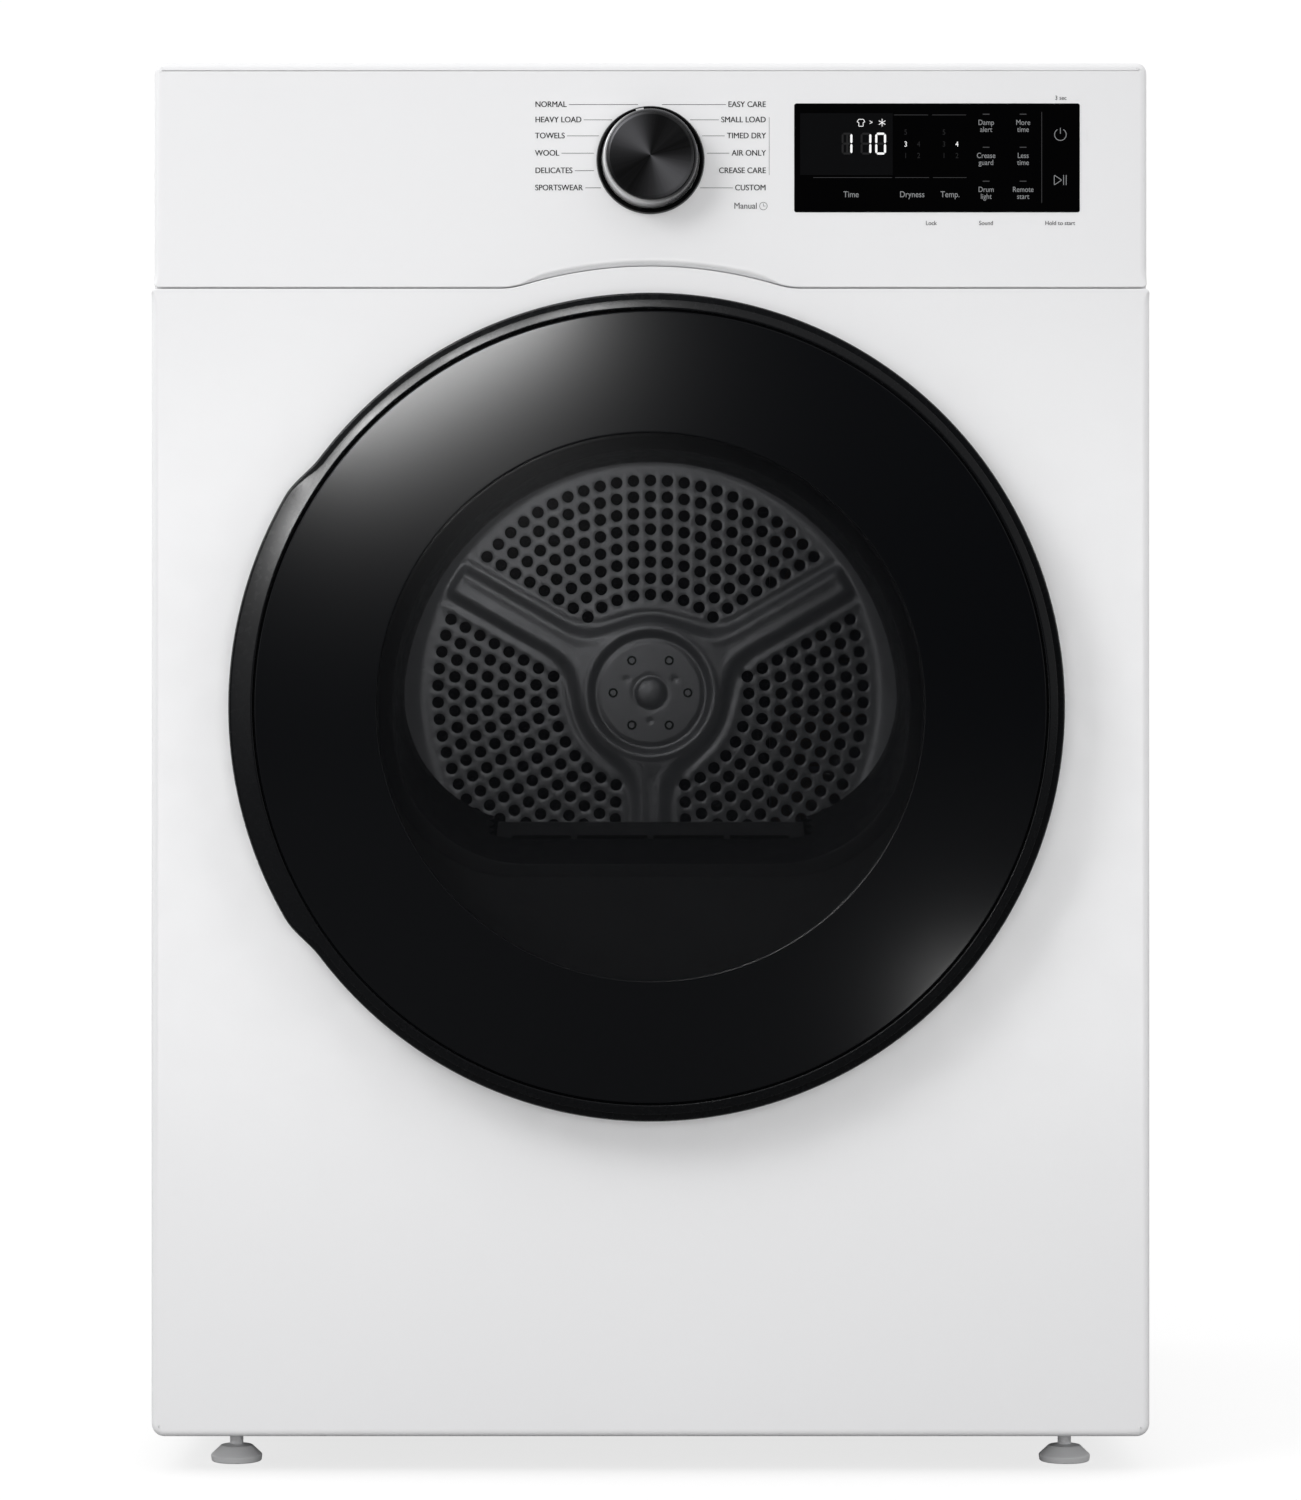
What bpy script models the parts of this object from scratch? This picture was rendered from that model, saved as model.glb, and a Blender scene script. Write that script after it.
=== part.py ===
"""Front-loading clothes dryer, built from its separate parts.

Metres, +Z up. The front faces -Y, and the origin is on the floor under the middle of the
dryer. "Depth" (d) is measured backwards from the front of the front panel, so what stands
proud of the panel has a negative depth.
"""
import math

import bmesh
import bpy
import numpy as np
from mathutils import Matrix, Vector

# Clearance between neighbours that touch or run on each other
GAP = 0.0003

# Cabinet
CABINET_WIDTH = 0.686
CABINET_DEPTH = 0.700
PANEL_HEIGHT = 0.944
FOOT_GAP = 0.026
SHEET = 0.001
FRONT_SHEET = 0.0015
FRONT_RETURN = 0.022
SIDE_FLANGE = 0.018
REAR_FLANGE = 0.012
TOP_FLANGE = 0.012
BASE_HEIGHT = 0.020
BOTTOM_CORNER = 0.008
EDGE_ROUND = 0.003

# Seam between the front panel and the control fascia
SEAM_ARCH_MARGIN = 0.0215
SEAM_ARCH_RISE = 0.0152
SEAM_FILLET = 0.057
SEAM_GAP = 0.0008
FASCIA_INSET = 0.002
FASCIA_WALL = 0.0025
FASCIA_CORNER = 0.006

# Knob and display
KNOB_ABOVE_SEAM = 0.0881
KNOB_RING_RADIUS = 0.0372
KNOB_RING_PROUD = 0.005
KNOB_SKIRT_RADIUS = 0.0332
KNOB_CAP_RADIUS = 0.0297
KNOB_PROUD = 0.028
KNOB_SHAFT_RADIUS = 0.006
WINDOW_X = 0.1967
WINDOW_ABOVE_SEAM = 0.0897
WINDOW_SIZE = (0.1961, 0.0748)
WINDOW_THICKNESS = 0.0015
WINDOW_LEDGE = 0.008

# Door
DOOR_HEIGHT = 0.5009
DOOR_RADIUS = 0.2815
DOOR_PROUD = 0.054
RIM_FRONT = 0.0405
RIM_REAR = 0.015
RIM_CHAMFER = 0.0040
RIM_BAND = 0.0055
RIM_WIDTH = 0.0125
RIM_LEDGE = 0.010
COVER_THICKNESS = 0.003
HANDLE_BULGE = 0.0053
HANDLE_HALF_ANGLE = 30.0
HANDLE_BLEND_ANGLE = 7.0
INNER_FRAME_REAR = 0.004
INNER_FRAME_WALL = 0.0025
OPENING_INSET = 0.071
SEAL_WIDTH = 0.011
SEAL_THICKNESS = 0.0032
BOWL_CLEARANCE = 0.023
BOWL_FLAT = 0.105
BOWL_TAPER = 0.025
BOWL_END_FLAT = 0.070
BOWL_DEPTH = 0.062
BOWL_WALL = 0.004
BOWL_FLANGE = 0.011
D_CORNER = 0.090

# Door hinge, latch and switch
HINGE_INSET = 0.0095
HINGE_PROUD = 0.024
HINGE_PIN_RADIUS = 0.0035
HINGE_POCKET_HALF = 0.060
HINGE_ARM_Z = 0.045
HINGE_ARM_THICKNESS = 0.008
HINGE_ARM_HALF_WIDTH = 0.0045
HINGE_BOSS_RADIUS = 0.0062
HINGE_LEG = (-0.037, -0.025)
HINGE_PLATE = (-0.047, -0.025)
HINGE_PLATE_THICKNESS = 0.003
LATCH_INSET = 0.024
STRIKE_SIZE = (0.008, 0.014)
STRIKE_REACH = 0.014
SWITCH_INSET = 0.034
SWITCH_DROP = 0.090
PLUNGER_RADIUS = 0.004
PLUNGER_PROUD = 0.003

# Drum and front bulkhead
DRUM_HEIGHT = 0.519
DRUM_RADIUS = 0.318
DRUM_WALL = 0.0015
DRUM_FRONT = 0.106
DRUM_REAR = 0.640
DRUM_BACK = 0.600
DRUM_HUB_RADIUS = 0.042
DRUM_SHAFT_RADIUS = 0.0095
BAFFLE_HEIGHT = 0.055
BAFFLE_FOOT_DEGREES = 9.0
BAFFLE_TOP_DEGREES = 2.5
BAFFLE_SPAN = (0.135, 0.585)
TUNNEL_FRONT = 0.012
TUNNEL_REAR = 0.104
TUNNEL_MARGIN = 0.010
TUNNEL_TAPER = 0.010
COLLAR_MARGIN = 0.009
BULKHEAD_PLATE = 0.040
FELT_THICKNESS = 0.0165
BULKHEAD_RING_LENGTH = 0.020
BULKHEAD_SHEET = 0.0012
FELT_SPAN = (0.108, 0.120)
ROLLER_RADIUS = 0.035
ROLLER_ANGLE = 35.0
ROLLER_SPAN = (0.112, 0.132)
ROLLER_AXLE_RADIUS = 0.006
ROLLER_PLATE = 0.003

# Air path
FILTER_SIDE_ROOM = 0.067
FILTER_SPAN = (0.076, 0.098)
FILTER_TOP = 0.080
FILTER_LENGTH = 0.165
FILTER_CLEARANCE = 0.004
DUCT_FLOOR = 0.062
MOTOR_X = -0.060
MOTOR_HEIGHT = 0.109
BLOWER_RADIUS = 0.085
BLOWER_WALL = 0.002
BLOWER_SPAN = (0.1055, 0.2155)
BLOWER_INLET_RADIUS = 0.050
FAN_RADIUS = 0.075
FAN_HUB_RADIUS = 0.028
FAN_SPAN = (0.130, 0.185)
FAN_VANES = 12
EXHAUST_RADIUS = 0.051
EXHAUST_WALL = 0.0008
EXHAUST_X = 0.120
EXHAUST_HEIGHT = 0.089
COLLAR_LENGTH = 0.035

# Motor and belt drive
MOTOR_RADIUS = 0.060
MOTOR_SPAN = (0.222, 0.300)
MOTOR_SHAFT_RADIUS = 0.0055
PULLEY_RADIUS = 0.0125
PULLEY_FLANGE = 0.004
BELT_DEPTH = 0.318
BELT_WIDTH = 0.013
BELT_THICKNESS = 0.0025
IDLER_RADIUS = 0.022
IDLER_PIN_RADIUS = 0.005
IDLER_PLACE = 0.62
IDLER_PIVOT = (-0.215, 0.060)
IDLER_ARM_THICKNESS = 0.004
IDLER_ARM_HALF_WIDTH = 0.009
SPRING_TURNS = 3
SPRING_WIRE = 0.0011

# Heater, bearing and rear cover
HEATER_X = (0.100, 0.260)
HEATER_Z = (0.350, 0.750)
HEATER_SPAN = (0.650, 0.686)
HEATER_WIRE = 0.003
HEATER_PASSES = 7
BEARING_RADIUS = 0.0122
BEARING_SPAN = (0.656, 0.682)
TERMINAL_BOX = (0.180, 0.300, 0.780, 0.880)
TERMINAL_PROUD = 0.024

# Levelling feet
FOOT_X = 0.290
FOOT_DEPTHS = (0.062, 0.648)
FOOT_PAD_RADIUS = 0.018
FOOT_PAD_HEIGHT = 0.012
FOOT_STEM_RADIUS = 0.005
FOOT_STEM_TOP = 0.052
FOOT_BOSS_RADIUS = 0.013

ROUND_STEPS = 48
DRUM_STEPS = 60
RIM_STEPS = 72
KNOB_STEPS = 32
BELT_STEPS = 72
DUCT_STEPS = 26
SMALL_STEPS = 20

# Sizes and places worked out from the sizes above
COVER_RADIUS = DOOR_RADIUS - RIM_WIDTH
RIM_INNER_RADIUS = COVER_RADIUS - RIM_LEDGE
HINGE_X = COVER_RADIUS - HINGE_INSET
LATCH_X = -(RIM_INNER_RADIUS - LATCH_INSET)
SWITCH_X = -(RIM_INNER_RADIUS - SWITCH_INSET)
DOOR_OPENING_RADIUS = COVER_RADIUS - OPENING_INSET
BOWL_RADIUS = DOOR_OPENING_RADIUS - BOWL_CLEARANCE
BOWL_END_RADIUS = BOWL_RADIUS - BOWL_TAPER
TUNNEL_RADIUS = BOWL_RADIUS + TUNNEL_MARGIN
TUNNEL_FLAT = BOWL_FLAT + TUNNEL_MARGIN
TUNNEL_END_RADIUS = TUNNEL_RADIUS - TUNNEL_TAPER
TUNNEL_END_FLAT = BOWL_END_FLAT + TUNNEL_MARGIN
BULKHEAD_COLLAR = DOOR_OPENING_RADIUS + COLLAR_MARGIN
BULKHEAD_RING = DRUM_RADIUS - DRUM_WALL - FELT_THICKNESS
FILTER_HALF_WIDTH = TUNNEL_END_RADIUS - FILTER_SIDE_ROOM
SEAM_ARCH_RADIUS = DOOR_RADIUS + SEAM_ARCH_MARGIN
SEAM_HEIGHT = DOOR_HEIGHT + SEAM_ARCH_RADIUS - SEAM_ARCH_RISE
FRONT_Y = DOOR_PROUD - (DOOR_PROUD + CABINET_DEPTH + COLLAR_LENGTH) / 2
HALF_WIDTH = CABINET_WIDTH / 2
BOTTOM = FOOT_GAP
TOP = FOOT_GAP + PANEL_HEIGHT
DOOR_Z = FOOT_GAP + DOOR_HEIGHT
KNOB_Z = FOOT_GAP + SEAM_HEIGHT + KNOB_ABOVE_SEAM
WINDOW_Z = FOOT_GAP + SEAM_HEIGHT + WINDOW_ABOVE_SEAM
DRUM_Z = FOOT_GAP + DRUM_HEIGHT
MOTOR_Z = FOOT_GAP + MOTOR_HEIGHT
EXHAUST_Z = FOOT_GAP + EXHAUST_HEIGHT
SIDE_TOP = TOP - TOP_FLANGE - GAP
REAR_FRONT = CABINET_DEPTH - REAR_FLANGE


def world_y(depth):
    """World Y of a depth behind the front panel."""
    return FRONT_Y + depth


def clear_scene():
    for old in list(bpy.data.objects):
        bpy.data.objects.remove(old, do_unlink=True)


clear_scene()
PARTS = bpy.data.collections.new("clothes_dryer")
CUTTERS = bpy.data.collections.new("cutters")
bpy.context.scene.collection.children.link(PARTS)
bpy.context.scene.collection.children.link(CUTTERS)


def make_material(name, colour, roughness, metallic=0.0, alpha=1.0):
    made = bpy.data.materials.new(name)
    made.use_nodes = True
    shader = made.node_tree.nodes["Principled BSDF"]
    shader.inputs["Base Color"].default_value = (*colour, 1.0)
    shader.inputs["Roughness"].default_value = roughness
    shader.inputs["Metallic"].default_value = metallic
    shader.inputs["Alpha"].default_value = alpha
    return made


WHITE_PAINT = make_material("white_paint", (0.82, 0.82, 0.83), 0.35)
WHITE_PLASTIC = make_material("white_plastic", (0.80, 0.80, 0.81), 0.40)
ZINC_SHEET = make_material("zinc_sheet", (0.60, 0.61, 0.63), 0.38, 1.0)
DRUM_STEEL = make_material("drum_steel", (0.58, 0.58, 0.59), 0.30, 1.0)
STEEL = make_material("steel", (0.50, 0.50, 0.52), 0.35, 1.0)
DARK_GLOSS = make_material("dark_gloss", (0.012, 0.013, 0.016), 0.10)
DARK_METALLIC = make_material("dark_metallic", (0.10, 0.105, 0.12), 0.28, 0.8)
SILVER = make_material("silver", (0.62, 0.63, 0.65), 0.25, 1.0)
GREY_PLASTIC = make_material("grey_plastic", (0.30, 0.31, 0.33), 0.50)
BLACK_PLASTIC = make_material("black_plastic", (0.03, 0.03, 0.035), 0.45)
BLACK_RUBBER = make_material("black_rubber", (0.025, 0.025, 0.025), 0.75)
CLEAR_GLASS = make_material("clear_glass", (0.75, 0.80, 0.82), 0.05, 0.0, 0.35)
SMOKED_GLASS = make_material("smoked_glass", (0.02, 0.022, 0.026), 0.05, 0.0, 0.6)
BOARD_GREEN = make_material("board_green", (0.03, 0.18, 0.07), 0.50)
FELT = make_material("felt", (0.45, 0.43, 0.40), 0.95)
HEATER_METAL = make_material("heater_metal", (0.30, 0.25, 0.22), 0.50, 1.0)


# ---------------------------------------------------------------- shapes

def add_part(name, mesh, material, location=(0.0, 0.0, 0.0), cutter=False):
    """Put a mesh in the scene as a part, or as a cutter that the build leaves out."""
    made = bpy.data.objects.new(name, mesh)
    made.location = location
    (CUTTERS if cutter else PARTS).objects.link(made)
    if cutter:
        made.hide_render = True
        made.display_type = "WIRE"
    else:
        mesh.materials.append(material)
        mesh.shade_smooth()
        mesh.set_sharp_from_angle(angle=math.radians(35))
    return made


def mesh_from(build, name):
    """Mesh filled by a function that is given an empty bmesh."""
    mesh = bpy.data.meshes.new(name)
    bm = bmesh.new()
    build(bm)
    bm.to_mesh(mesh)
    bm.free()
    return mesh


def box(name, x, depth, z, material=None, cutter=False):
    """Box between two X, two depths and two Z, with its origin at its middle."""
    size = (x[1] - x[0], depth[1] - depth[0], z[1] - z[0])
    middle = ((x[0] + x[1]) / 2, world_y((depth[0] + depth[1]) / 2), (z[0] + z[1]) / 2)
    mesh = mesh_from(lambda bm: bmesh.ops.create_cube(bm, size=1.0, matrix=Matrix.Diagonal((*size, 1.0))),
                     name)
    return add_part(name, mesh, material, middle, cutter)


def tray(name, x, depth, z, open_side, wall, material):
    """Folded sheet: a box with one side left open and its wall turned inwards."""
    part = box(name, x, depth, z, material)
    bm = bmesh.new()
    bm.from_mesh(part.data)
    missing = [face for face in bm.faces if face.normal.dot(Vector(open_side)) > 0.9]
    bmesh.ops.delete(bm, geom=missing, context="FACES")
    bm.to_mesh(part.data)
    bm.free()
    sheet = part.modifiers.new("sheet", "SOLIDIFY")
    sheet.thickness = wall
    sheet.offset = -1.0
    sheet.use_even_offset = True
    return part


def turned(name, profile, x, z, material=None, cutter=False, steps=ROUND_STEPS, closed=True):
    """Profile of (radius, depth) points turned about a line along Y through x, z."""
    points = [(radius, -depth) for radius, depth in profile]
    area = sum(a[0] * b[1] - b[0] * a[1] for a, b in zip(points, points[1:] + points[:1]))
    if area > 0:
        points.reverse()
    on_axis = min(radius for radius, _ in points) < 1e-6
    if on_axis and closed:
        first = next(i for i, p in enumerate(points) if p[0] < 1e-6 and points[i - 1][0] < 1e-6)
        points = points[first:] + points[:first]

    def build(bm):
        verts = [bm.verts.new((radius, 0.0, height)) for radius, height in points]
        pairs = list(zip(verts, verts[1:]))
        if closed and not on_axis:
            pairs.append((verts[-1], verts[0]))
        for pair in pairs:
            bm.edges.new(pair)

    part = add_part(name, mesh_from(build, name), material, (x, world_y(0.0), z), cutter)
    part.rotation_euler = (math.radians(90), 0.0, 0.0)
    screw = part.modifiers.new("turn", "SCREW")
    screw.axis = "Z"
    screw.steps = steps
    screw.render_steps = steps
    screw.use_merge_vertices = True
    screw.merge_threshold = 0.00002
    screw.use_smooth_shade = True
    return part


def cylinder(name, radius, x, z, depth, material=None, cutter=False, steps=SMALL_STEPS):
    """Round bar along Y."""
    profile = [(0.0, depth[0]), (radius, depth[0]), (radius, depth[1]), (0.0, depth[1])]
    return turned(name, profile, x, z, material, cutter, steps)


def tube(name, inner, outer, x, z, depth, material=None, cutter=False, steps=ROUND_STEPS):
    """Plain ring along Y."""
    profile = [(inner, depth[0]), (outer, depth[0]), (outer, depth[1]), (inner, depth[1])]
    return turned(name, profile, x, z, material, cutter, steps)


def post(name, radius, x, depth, z, material=None, cutter=False, steps=SMALL_STEPS):
    """Round bar along Z at one depth."""
    def build(bm):
        bmesh.ops.create_cone(bm, cap_ends=True, segments=steps, radius1=radius, radius2=radius,
                              depth=z[1] - z[0])
    return add_part(name, mesh_from(build, name), material, (x, world_y(depth), (z[0] + z[1]) / 2), cutter)


def plate(name, outlines, depth, material=None, cutter=False):
    """Flat outlines of (x, z) points, the later ones holes in the first, given a thickness along Y."""
    curve = bpy.data.curves.new(name, "CURVE")
    curve.dimensions = "2D"
    curve.fill_mode = "BOTH"
    curve.extrude = (depth[1] - depth[0]) / 2
    for outline in outlines:
        spline = curve.splines.new("POLY")
        spline.points.add(len(outline) - 1)
        spline.points.foreach_set("co", [c for x, z in outline for c in (x, z, 0.0, 1.0)])
        spline.use_cyclic_u = True
    guide = bpy.data.objects.new(name, curve)
    bpy.context.scene.collection.objects.link(guide)
    bpy.context.view_layer.update()
    mesh = bpy.data.meshes.new_from_object(guide.evaluated_get(bpy.context.evaluated_depsgraph_get()))
    bpy.data.objects.remove(guide)
    bm = bmesh.new()
    bm.from_mesh(mesh)
    bmesh.ops.remove_doubles(bm, verts=bm.verts, dist=0.000002)
    bmesh.ops.dissolve_limit(bm, angle_limit=math.radians(0.05), verts=bm.verts, edges=bm.edges)
    bmesh.ops.recalc_face_normals(bm, faces=bm.faces)
    bm.to_mesh(mesh)
    bm.free()
    mesh.name = name
    part = add_part(name, mesh, material, (0.0, world_y((depth[0] + depth[1]) / 2), 0.0), cutter)
    part.rotation_euler = (math.radians(90), 0.0, 0.0)
    return part


def round_front_edges(part, radius):
    """Round the edges of a plate's front face; the plate's front is at its local +Z."""
    bm = bmesh.new()
    bm.from_mesh(part.data)
    weights = bm.edges.layers.float.new("bevel_weight_edge")
    front = max(v.co.z for v in bm.verts)
    for edge in bm.edges:
        on_front = all(v.co.z > front - 1e-6 for v in edge.verts)
        edge[weights] = 1.0 if on_front and edge.calc_face_angle(0.0) > 1.0 else 0.0
    bm.to_mesh(part.data)
    bm.free()
    bevel = part.modifiers.new("round_edge", "BEVEL")
    bevel.limit_method = "WEIGHT"
    bevel.width = radius
    bevel.segments = 3


def combine(part, other, operation):
    joined = part.modifiers.new(other.name, "BOOLEAN")
    joined.operation = operation
    joined.solver = "EXACT"
    joined.object = other


def cut(part, *cutters):
    for cutter in cutters:
        combine(part, cutter, "DIFFERENCE")


def join(part, *others):
    for other in others:
        combine(part, other, "UNION")


def arc(centre, radius, start, end, count):
    """Points along an arc, angles in degrees, both ends included."""
    angles = np.radians(np.linspace(start, end, count))
    return [(centre[0] + radius * math.cos(a), centre[1] + radius * math.sin(a)) for a in angles]


def loft(name, sections, material, wall, closed_end=False):
    """Sheet through rings of (x, z) points at given depths.

    The faces point outwards where the rings go back, and the wall goes to their other side.
    """
    count = len(sections[0][1])

    def build(bm):
        rings = []
        for depth, ring in sections:
            rings.append([bm.verts.new((x, world_y(depth), z)) for x, z in ring])
        for near, far in zip(rings, rings[1:]):
            for i in range(count):
                j = (i + 1) % count
                bm.faces.new((near[i], far[i], far[j], near[j]))
        if closed_end:
            bm.faces.new(rings[-1][::-1])

    part = add_part(name, mesh_from(build, name), material)
    sheet = part.modifiers.new("sheet", "SOLIDIFY")
    sheet.thickness = wall
    sheet.offset = -1.0
    sheet.use_even_offset = True
    return part


def d_ring(radius, flat, corner, centre_z, count):
    """Round opening with a flat bottom and rounded corners, as points at equal angles.

    The corner circles touch the large circle from inside and the flat from above.
    """
    rise = corner - flat
    side = math.sqrt((radius - corner) ** 2 - rise ** 2)
    start = math.degrees(math.atan2(rise, side))
    outline = arc((0.0, 0.0), radius, start, 180.0 - start, 121)
    outline += arc((-side, rise), corner, 180.0 - start, 270.0, 41)
    outline += [(x, -flat) for x in np.linspace(-side, side, 41)[1:-1]]
    outline += arc((side, rise), corner, 270.0, 360.0 + start, 41)
    points = np.array(outline)
    angles = np.unwrap(np.arctan2(points[:, 1], points[:, 0]))
    lengths = np.hypot(points[:, 0], points[:, 1])
    turns = np.linspace(0.0, 2 * math.pi, count, endpoint=False) + math.pi / count
    reach = np.interp(turns, angles, lengths, period=2 * math.pi)
    return [(r * math.cos(a), centre_z + r * math.sin(a)) for r, a in zip(reach, turns)]


def circle_ring(radius, centre_z, count):
    """Circle's points at equal angles about the door's centre, so that lofts don't twist."""
    seen_from = DOOR_Z
    turns = np.linspace(0.0, 2 * math.pi, count, endpoint=False) + math.pi / count
    rise = centre_z - seen_from
    points = []
    for a in turns:
        reach = rise * math.sin(a) + math.sqrt(radius ** 2 - (rise * math.cos(a)) ** 2)
        points.append((reach * math.cos(a), seen_from + reach * math.sin(a)))
    return points


def rectangle_ring(half_width, low, high, seen_from, count):
    """Rectangle's points at equal angles about a centre inside it."""
    turns = np.linspace(0.0, 2 * math.pi, count, endpoint=False) + math.pi / count
    points = []
    for a in turns:
        across = half_width / max(abs(math.cos(a)), 1e-9)
        upright = ((high - seen_from) if math.sin(a) > 0 else (seen_from - low)) / max(abs(math.sin(a)), 1e-9)
        reach = min(across, upright)
        points.append((reach * math.cos(a), seen_from + reach * math.sin(a)))
    return points


# ---------------------------------------------------------------- cabinet

def seam_line(half_width, offset):
    """Seam from left to right: straight, a fillet, an arch about the door, a fillet, straight.

    A positive offset moves the whole line up, square to itself.
    """
    line = FOOT_GAP + SEAM_HEIGHT
    fillet_z = line + SEAM_FILLET
    fillet_x = math.sqrt((SEAM_ARCH_RADIUS + SEAM_FILLET) ** 2 - (fillet_z - DOOR_Z) ** 2)
    lean = math.degrees(math.atan2(fillet_x, fillet_z - DOOR_Z))
    fillet = SEAM_FILLET - offset
    points = [(-half_width, line + offset)]
    points += arc((-fillet_x, fillet_z), fillet, -90.0, -90.0 + lean, 5)
    points += arc((0.0, DOOR_Z), SEAM_ARCH_RADIUS + offset, 90.0 + lean, 90.0 - lean, 9)[1:-1]
    points += arc((fillet_x, fillet_z), fillet, -90.0 - lean, -90.0, 5)
    points.append((half_width, line + offset))
    return points


def front_outline(inset):
    """Outline of the front panel, or of the space inside it."""
    half = HALF_WIDTH - inset
    low = BOTTOM + inset
    corner = max(BOTTOM_CORNER - inset, 0.001)
    points = arc((half - corner, low + corner), corner, 0.0, -90.0, 5)
    points += arc((corner - half, low + corner), corner, -90.0, -180.0, 5)
    return points + seam_line(half, -inset)


def fascia_outline(inset):
    """Outline of the control fascia, or of the space inside it."""
    half = HALF_WIDTH - FASCIA_INSET - inset
    high = TOP - inset
    corner = max(FASCIA_CORNER - inset, 0.001)
    points = seam_line(half, SEAM_GAP + inset)
    points += arc((half - corner, high - corner), corner, 0.0, 90.0, 5)
    return points + arc((corner - half, high - corner), corner, 90.0, 180.0, 5)


def build_cabinet():
    inside_x = HALF_WIDTH - SIDE_FLANGE - GAP
    body_front = FRONT_RETURN + GAP
    for side, name in ((-1, "left_side_panel"), (1, "right_side_panel")):
        x = sorted((side * HALF_WIDTH, side * (HALF_WIDTH - SIDE_FLANGE)))
        tray(name, x, (body_front, REAR_FRONT - GAP), (BOTTOM, SIDE_TOP), (-side, 0, 0), SHEET, WHITE_PAINT)
    rear = tray("rear_panel", (-HALF_WIDTH, HALF_WIDTH), (REAR_FRONT, CABINET_DEPTH), (BOTTOM, SIDE_TOP),
                (0, -1, 0), SHEET, ZINC_SHEET)
    cut(rear, cylinder("exhaust_hole", EXHAUST_RADIUS + 0.0015, EXHAUST_X, EXHAUST_Z,
                       (REAR_FRONT, CABINET_DEPTH + 0.01), cutter=True))
    tray("top_cover", (-HALF_WIDTH, HALF_WIDTH), (body_front, CABINET_DEPTH), (TOP - TOP_FLANGE, TOP),
         (0, 0, -1), SHEET, WHITE_PAINT)
    base = tray("base_pan", (-inside_x, inside_x), (body_front, REAR_FRONT - GAP),
                (BOTTOM, BOTTOM + BASE_HEIGHT),
                (0, 0, 1), SHEET, ZINC_SHEET)
    for index, (x, depth) in enumerate(foot_places()):
        join(base, post(f"foot_boss_{index}", FOOT_BOSS_RADIUS, x, depth,
                        (BOTTOM + SHEET / 2, FOOT_STEM_TOP + 0.008), cutter=True))
        cut(base, post(f"foot_thread_{index}", FOOT_STEM_RADIUS + GAP, x, depth,
                       (BOTTOM - 0.01, FOOT_STEM_TOP + 0.003), cutter=True))
    box("terminal_cover", TERMINAL_BOX[:2], (CABINET_DEPTH + GAP, CABINET_DEPTH + TERMINAL_PROUD),
        TERMINAL_BOX[2:], ZINC_SHEET)


def build_front_panel():
    panel = plate("front_panel", [front_outline(0.0)], (0.0, FRONT_RETURN), WHITE_PAINT)
    round_front_edges(panel, EDGE_ROUND)
    hollow = plate("front_hollow", [front_outline(FRONT_SHEET)], (FRONT_SHEET, FRONT_RETURN + 0.01),
                   cutter=True)
    through = (-0.01, FRONT_RETURN + 0.01)
    hole = cylinder("door_opening", DOOR_OPENING_RADIUS, 0.0, DOOR_Z, through, cutter=True, steps=ROUND_STEPS)
    strike_slot = box("strike_slot", around(LATCH_X, STRIKE_SIZE[0] / 2 + 0.005), (-0.01, 0.01),
                      around(DOOR_Z, STRIKE_SIZE[1] / 2 + 0.005), cutter=True)
    plunger_hole = cylinder("plunger_hole", PLUNGER_RADIUS + 0.0008, SWITCH_X, DOOR_Z - SWITCH_DROP,
                            (-0.01, 0.01), cutter=True)
    cut(panel, hollow, hole, strike_slot, plunger_hole)


def around(middle, half):
    """Low and high limits about a middle."""
    return (middle - half, middle + half)


def build_controls():
    fascia = plate("control_fascia", [fascia_outline(0.0)], (0.0, FRONT_RETURN), WHITE_PLASTIC)
    round_front_edges(fascia, EDGE_ROUND)
    hollow = plate("fascia_hollow", [fascia_outline(FASCIA_WALL)], (FASCIA_WALL, FRONT_RETURN + 0.01),
                   cutter=True)
    half_w, half_h = WINDOW_SIZE[0] / 2, WINDOW_SIZE[1] / 2
    recess = box("window_recess", around(WINDOW_X, half_w + GAP), (-0.01, WINDOW_THICKNESS),
                 around(WINDOW_Z, half_h + GAP), cutter=True)
    opening = box("window_opening", around(WINDOW_X, half_w - WINDOW_LEDGE), (-0.01, 0.01),
                  around(WINDOW_Z, half_h - WINDOW_LEDGE), cutter=True)
    shaft_hole = cylinder("knob_hole", KNOB_SHAFT_RADIUS + 0.0025, 0.0, KNOB_Z, (-0.01, 0.01), cutter=True)
    cut(fascia, hollow, recess, opening, shaft_hole)
    box("display_window", around(WINDOW_X, half_w), (-GAP, WINDOW_THICKNESS - GAP),
        around(WINDOW_Z, half_h), DARK_GLOSS)
    box("control_board", around(WINDOW_X, half_w - 0.002), (0.012, 0.0136),
        around(WINDOW_Z, half_h - 0.002), BOARD_GREEN)
    encoder = box("encoder_body", around(0.0, 0.018), (0.009, 0.021), around(KNOB_Z, 0.018), GREY_PLASTIC)
    cut(encoder, cylinder("encoder_bore", KNOB_SHAFT_RADIUS + GAP, 0.0, KNOB_Z, (0.0, 0.017), cutter=True))


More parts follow.
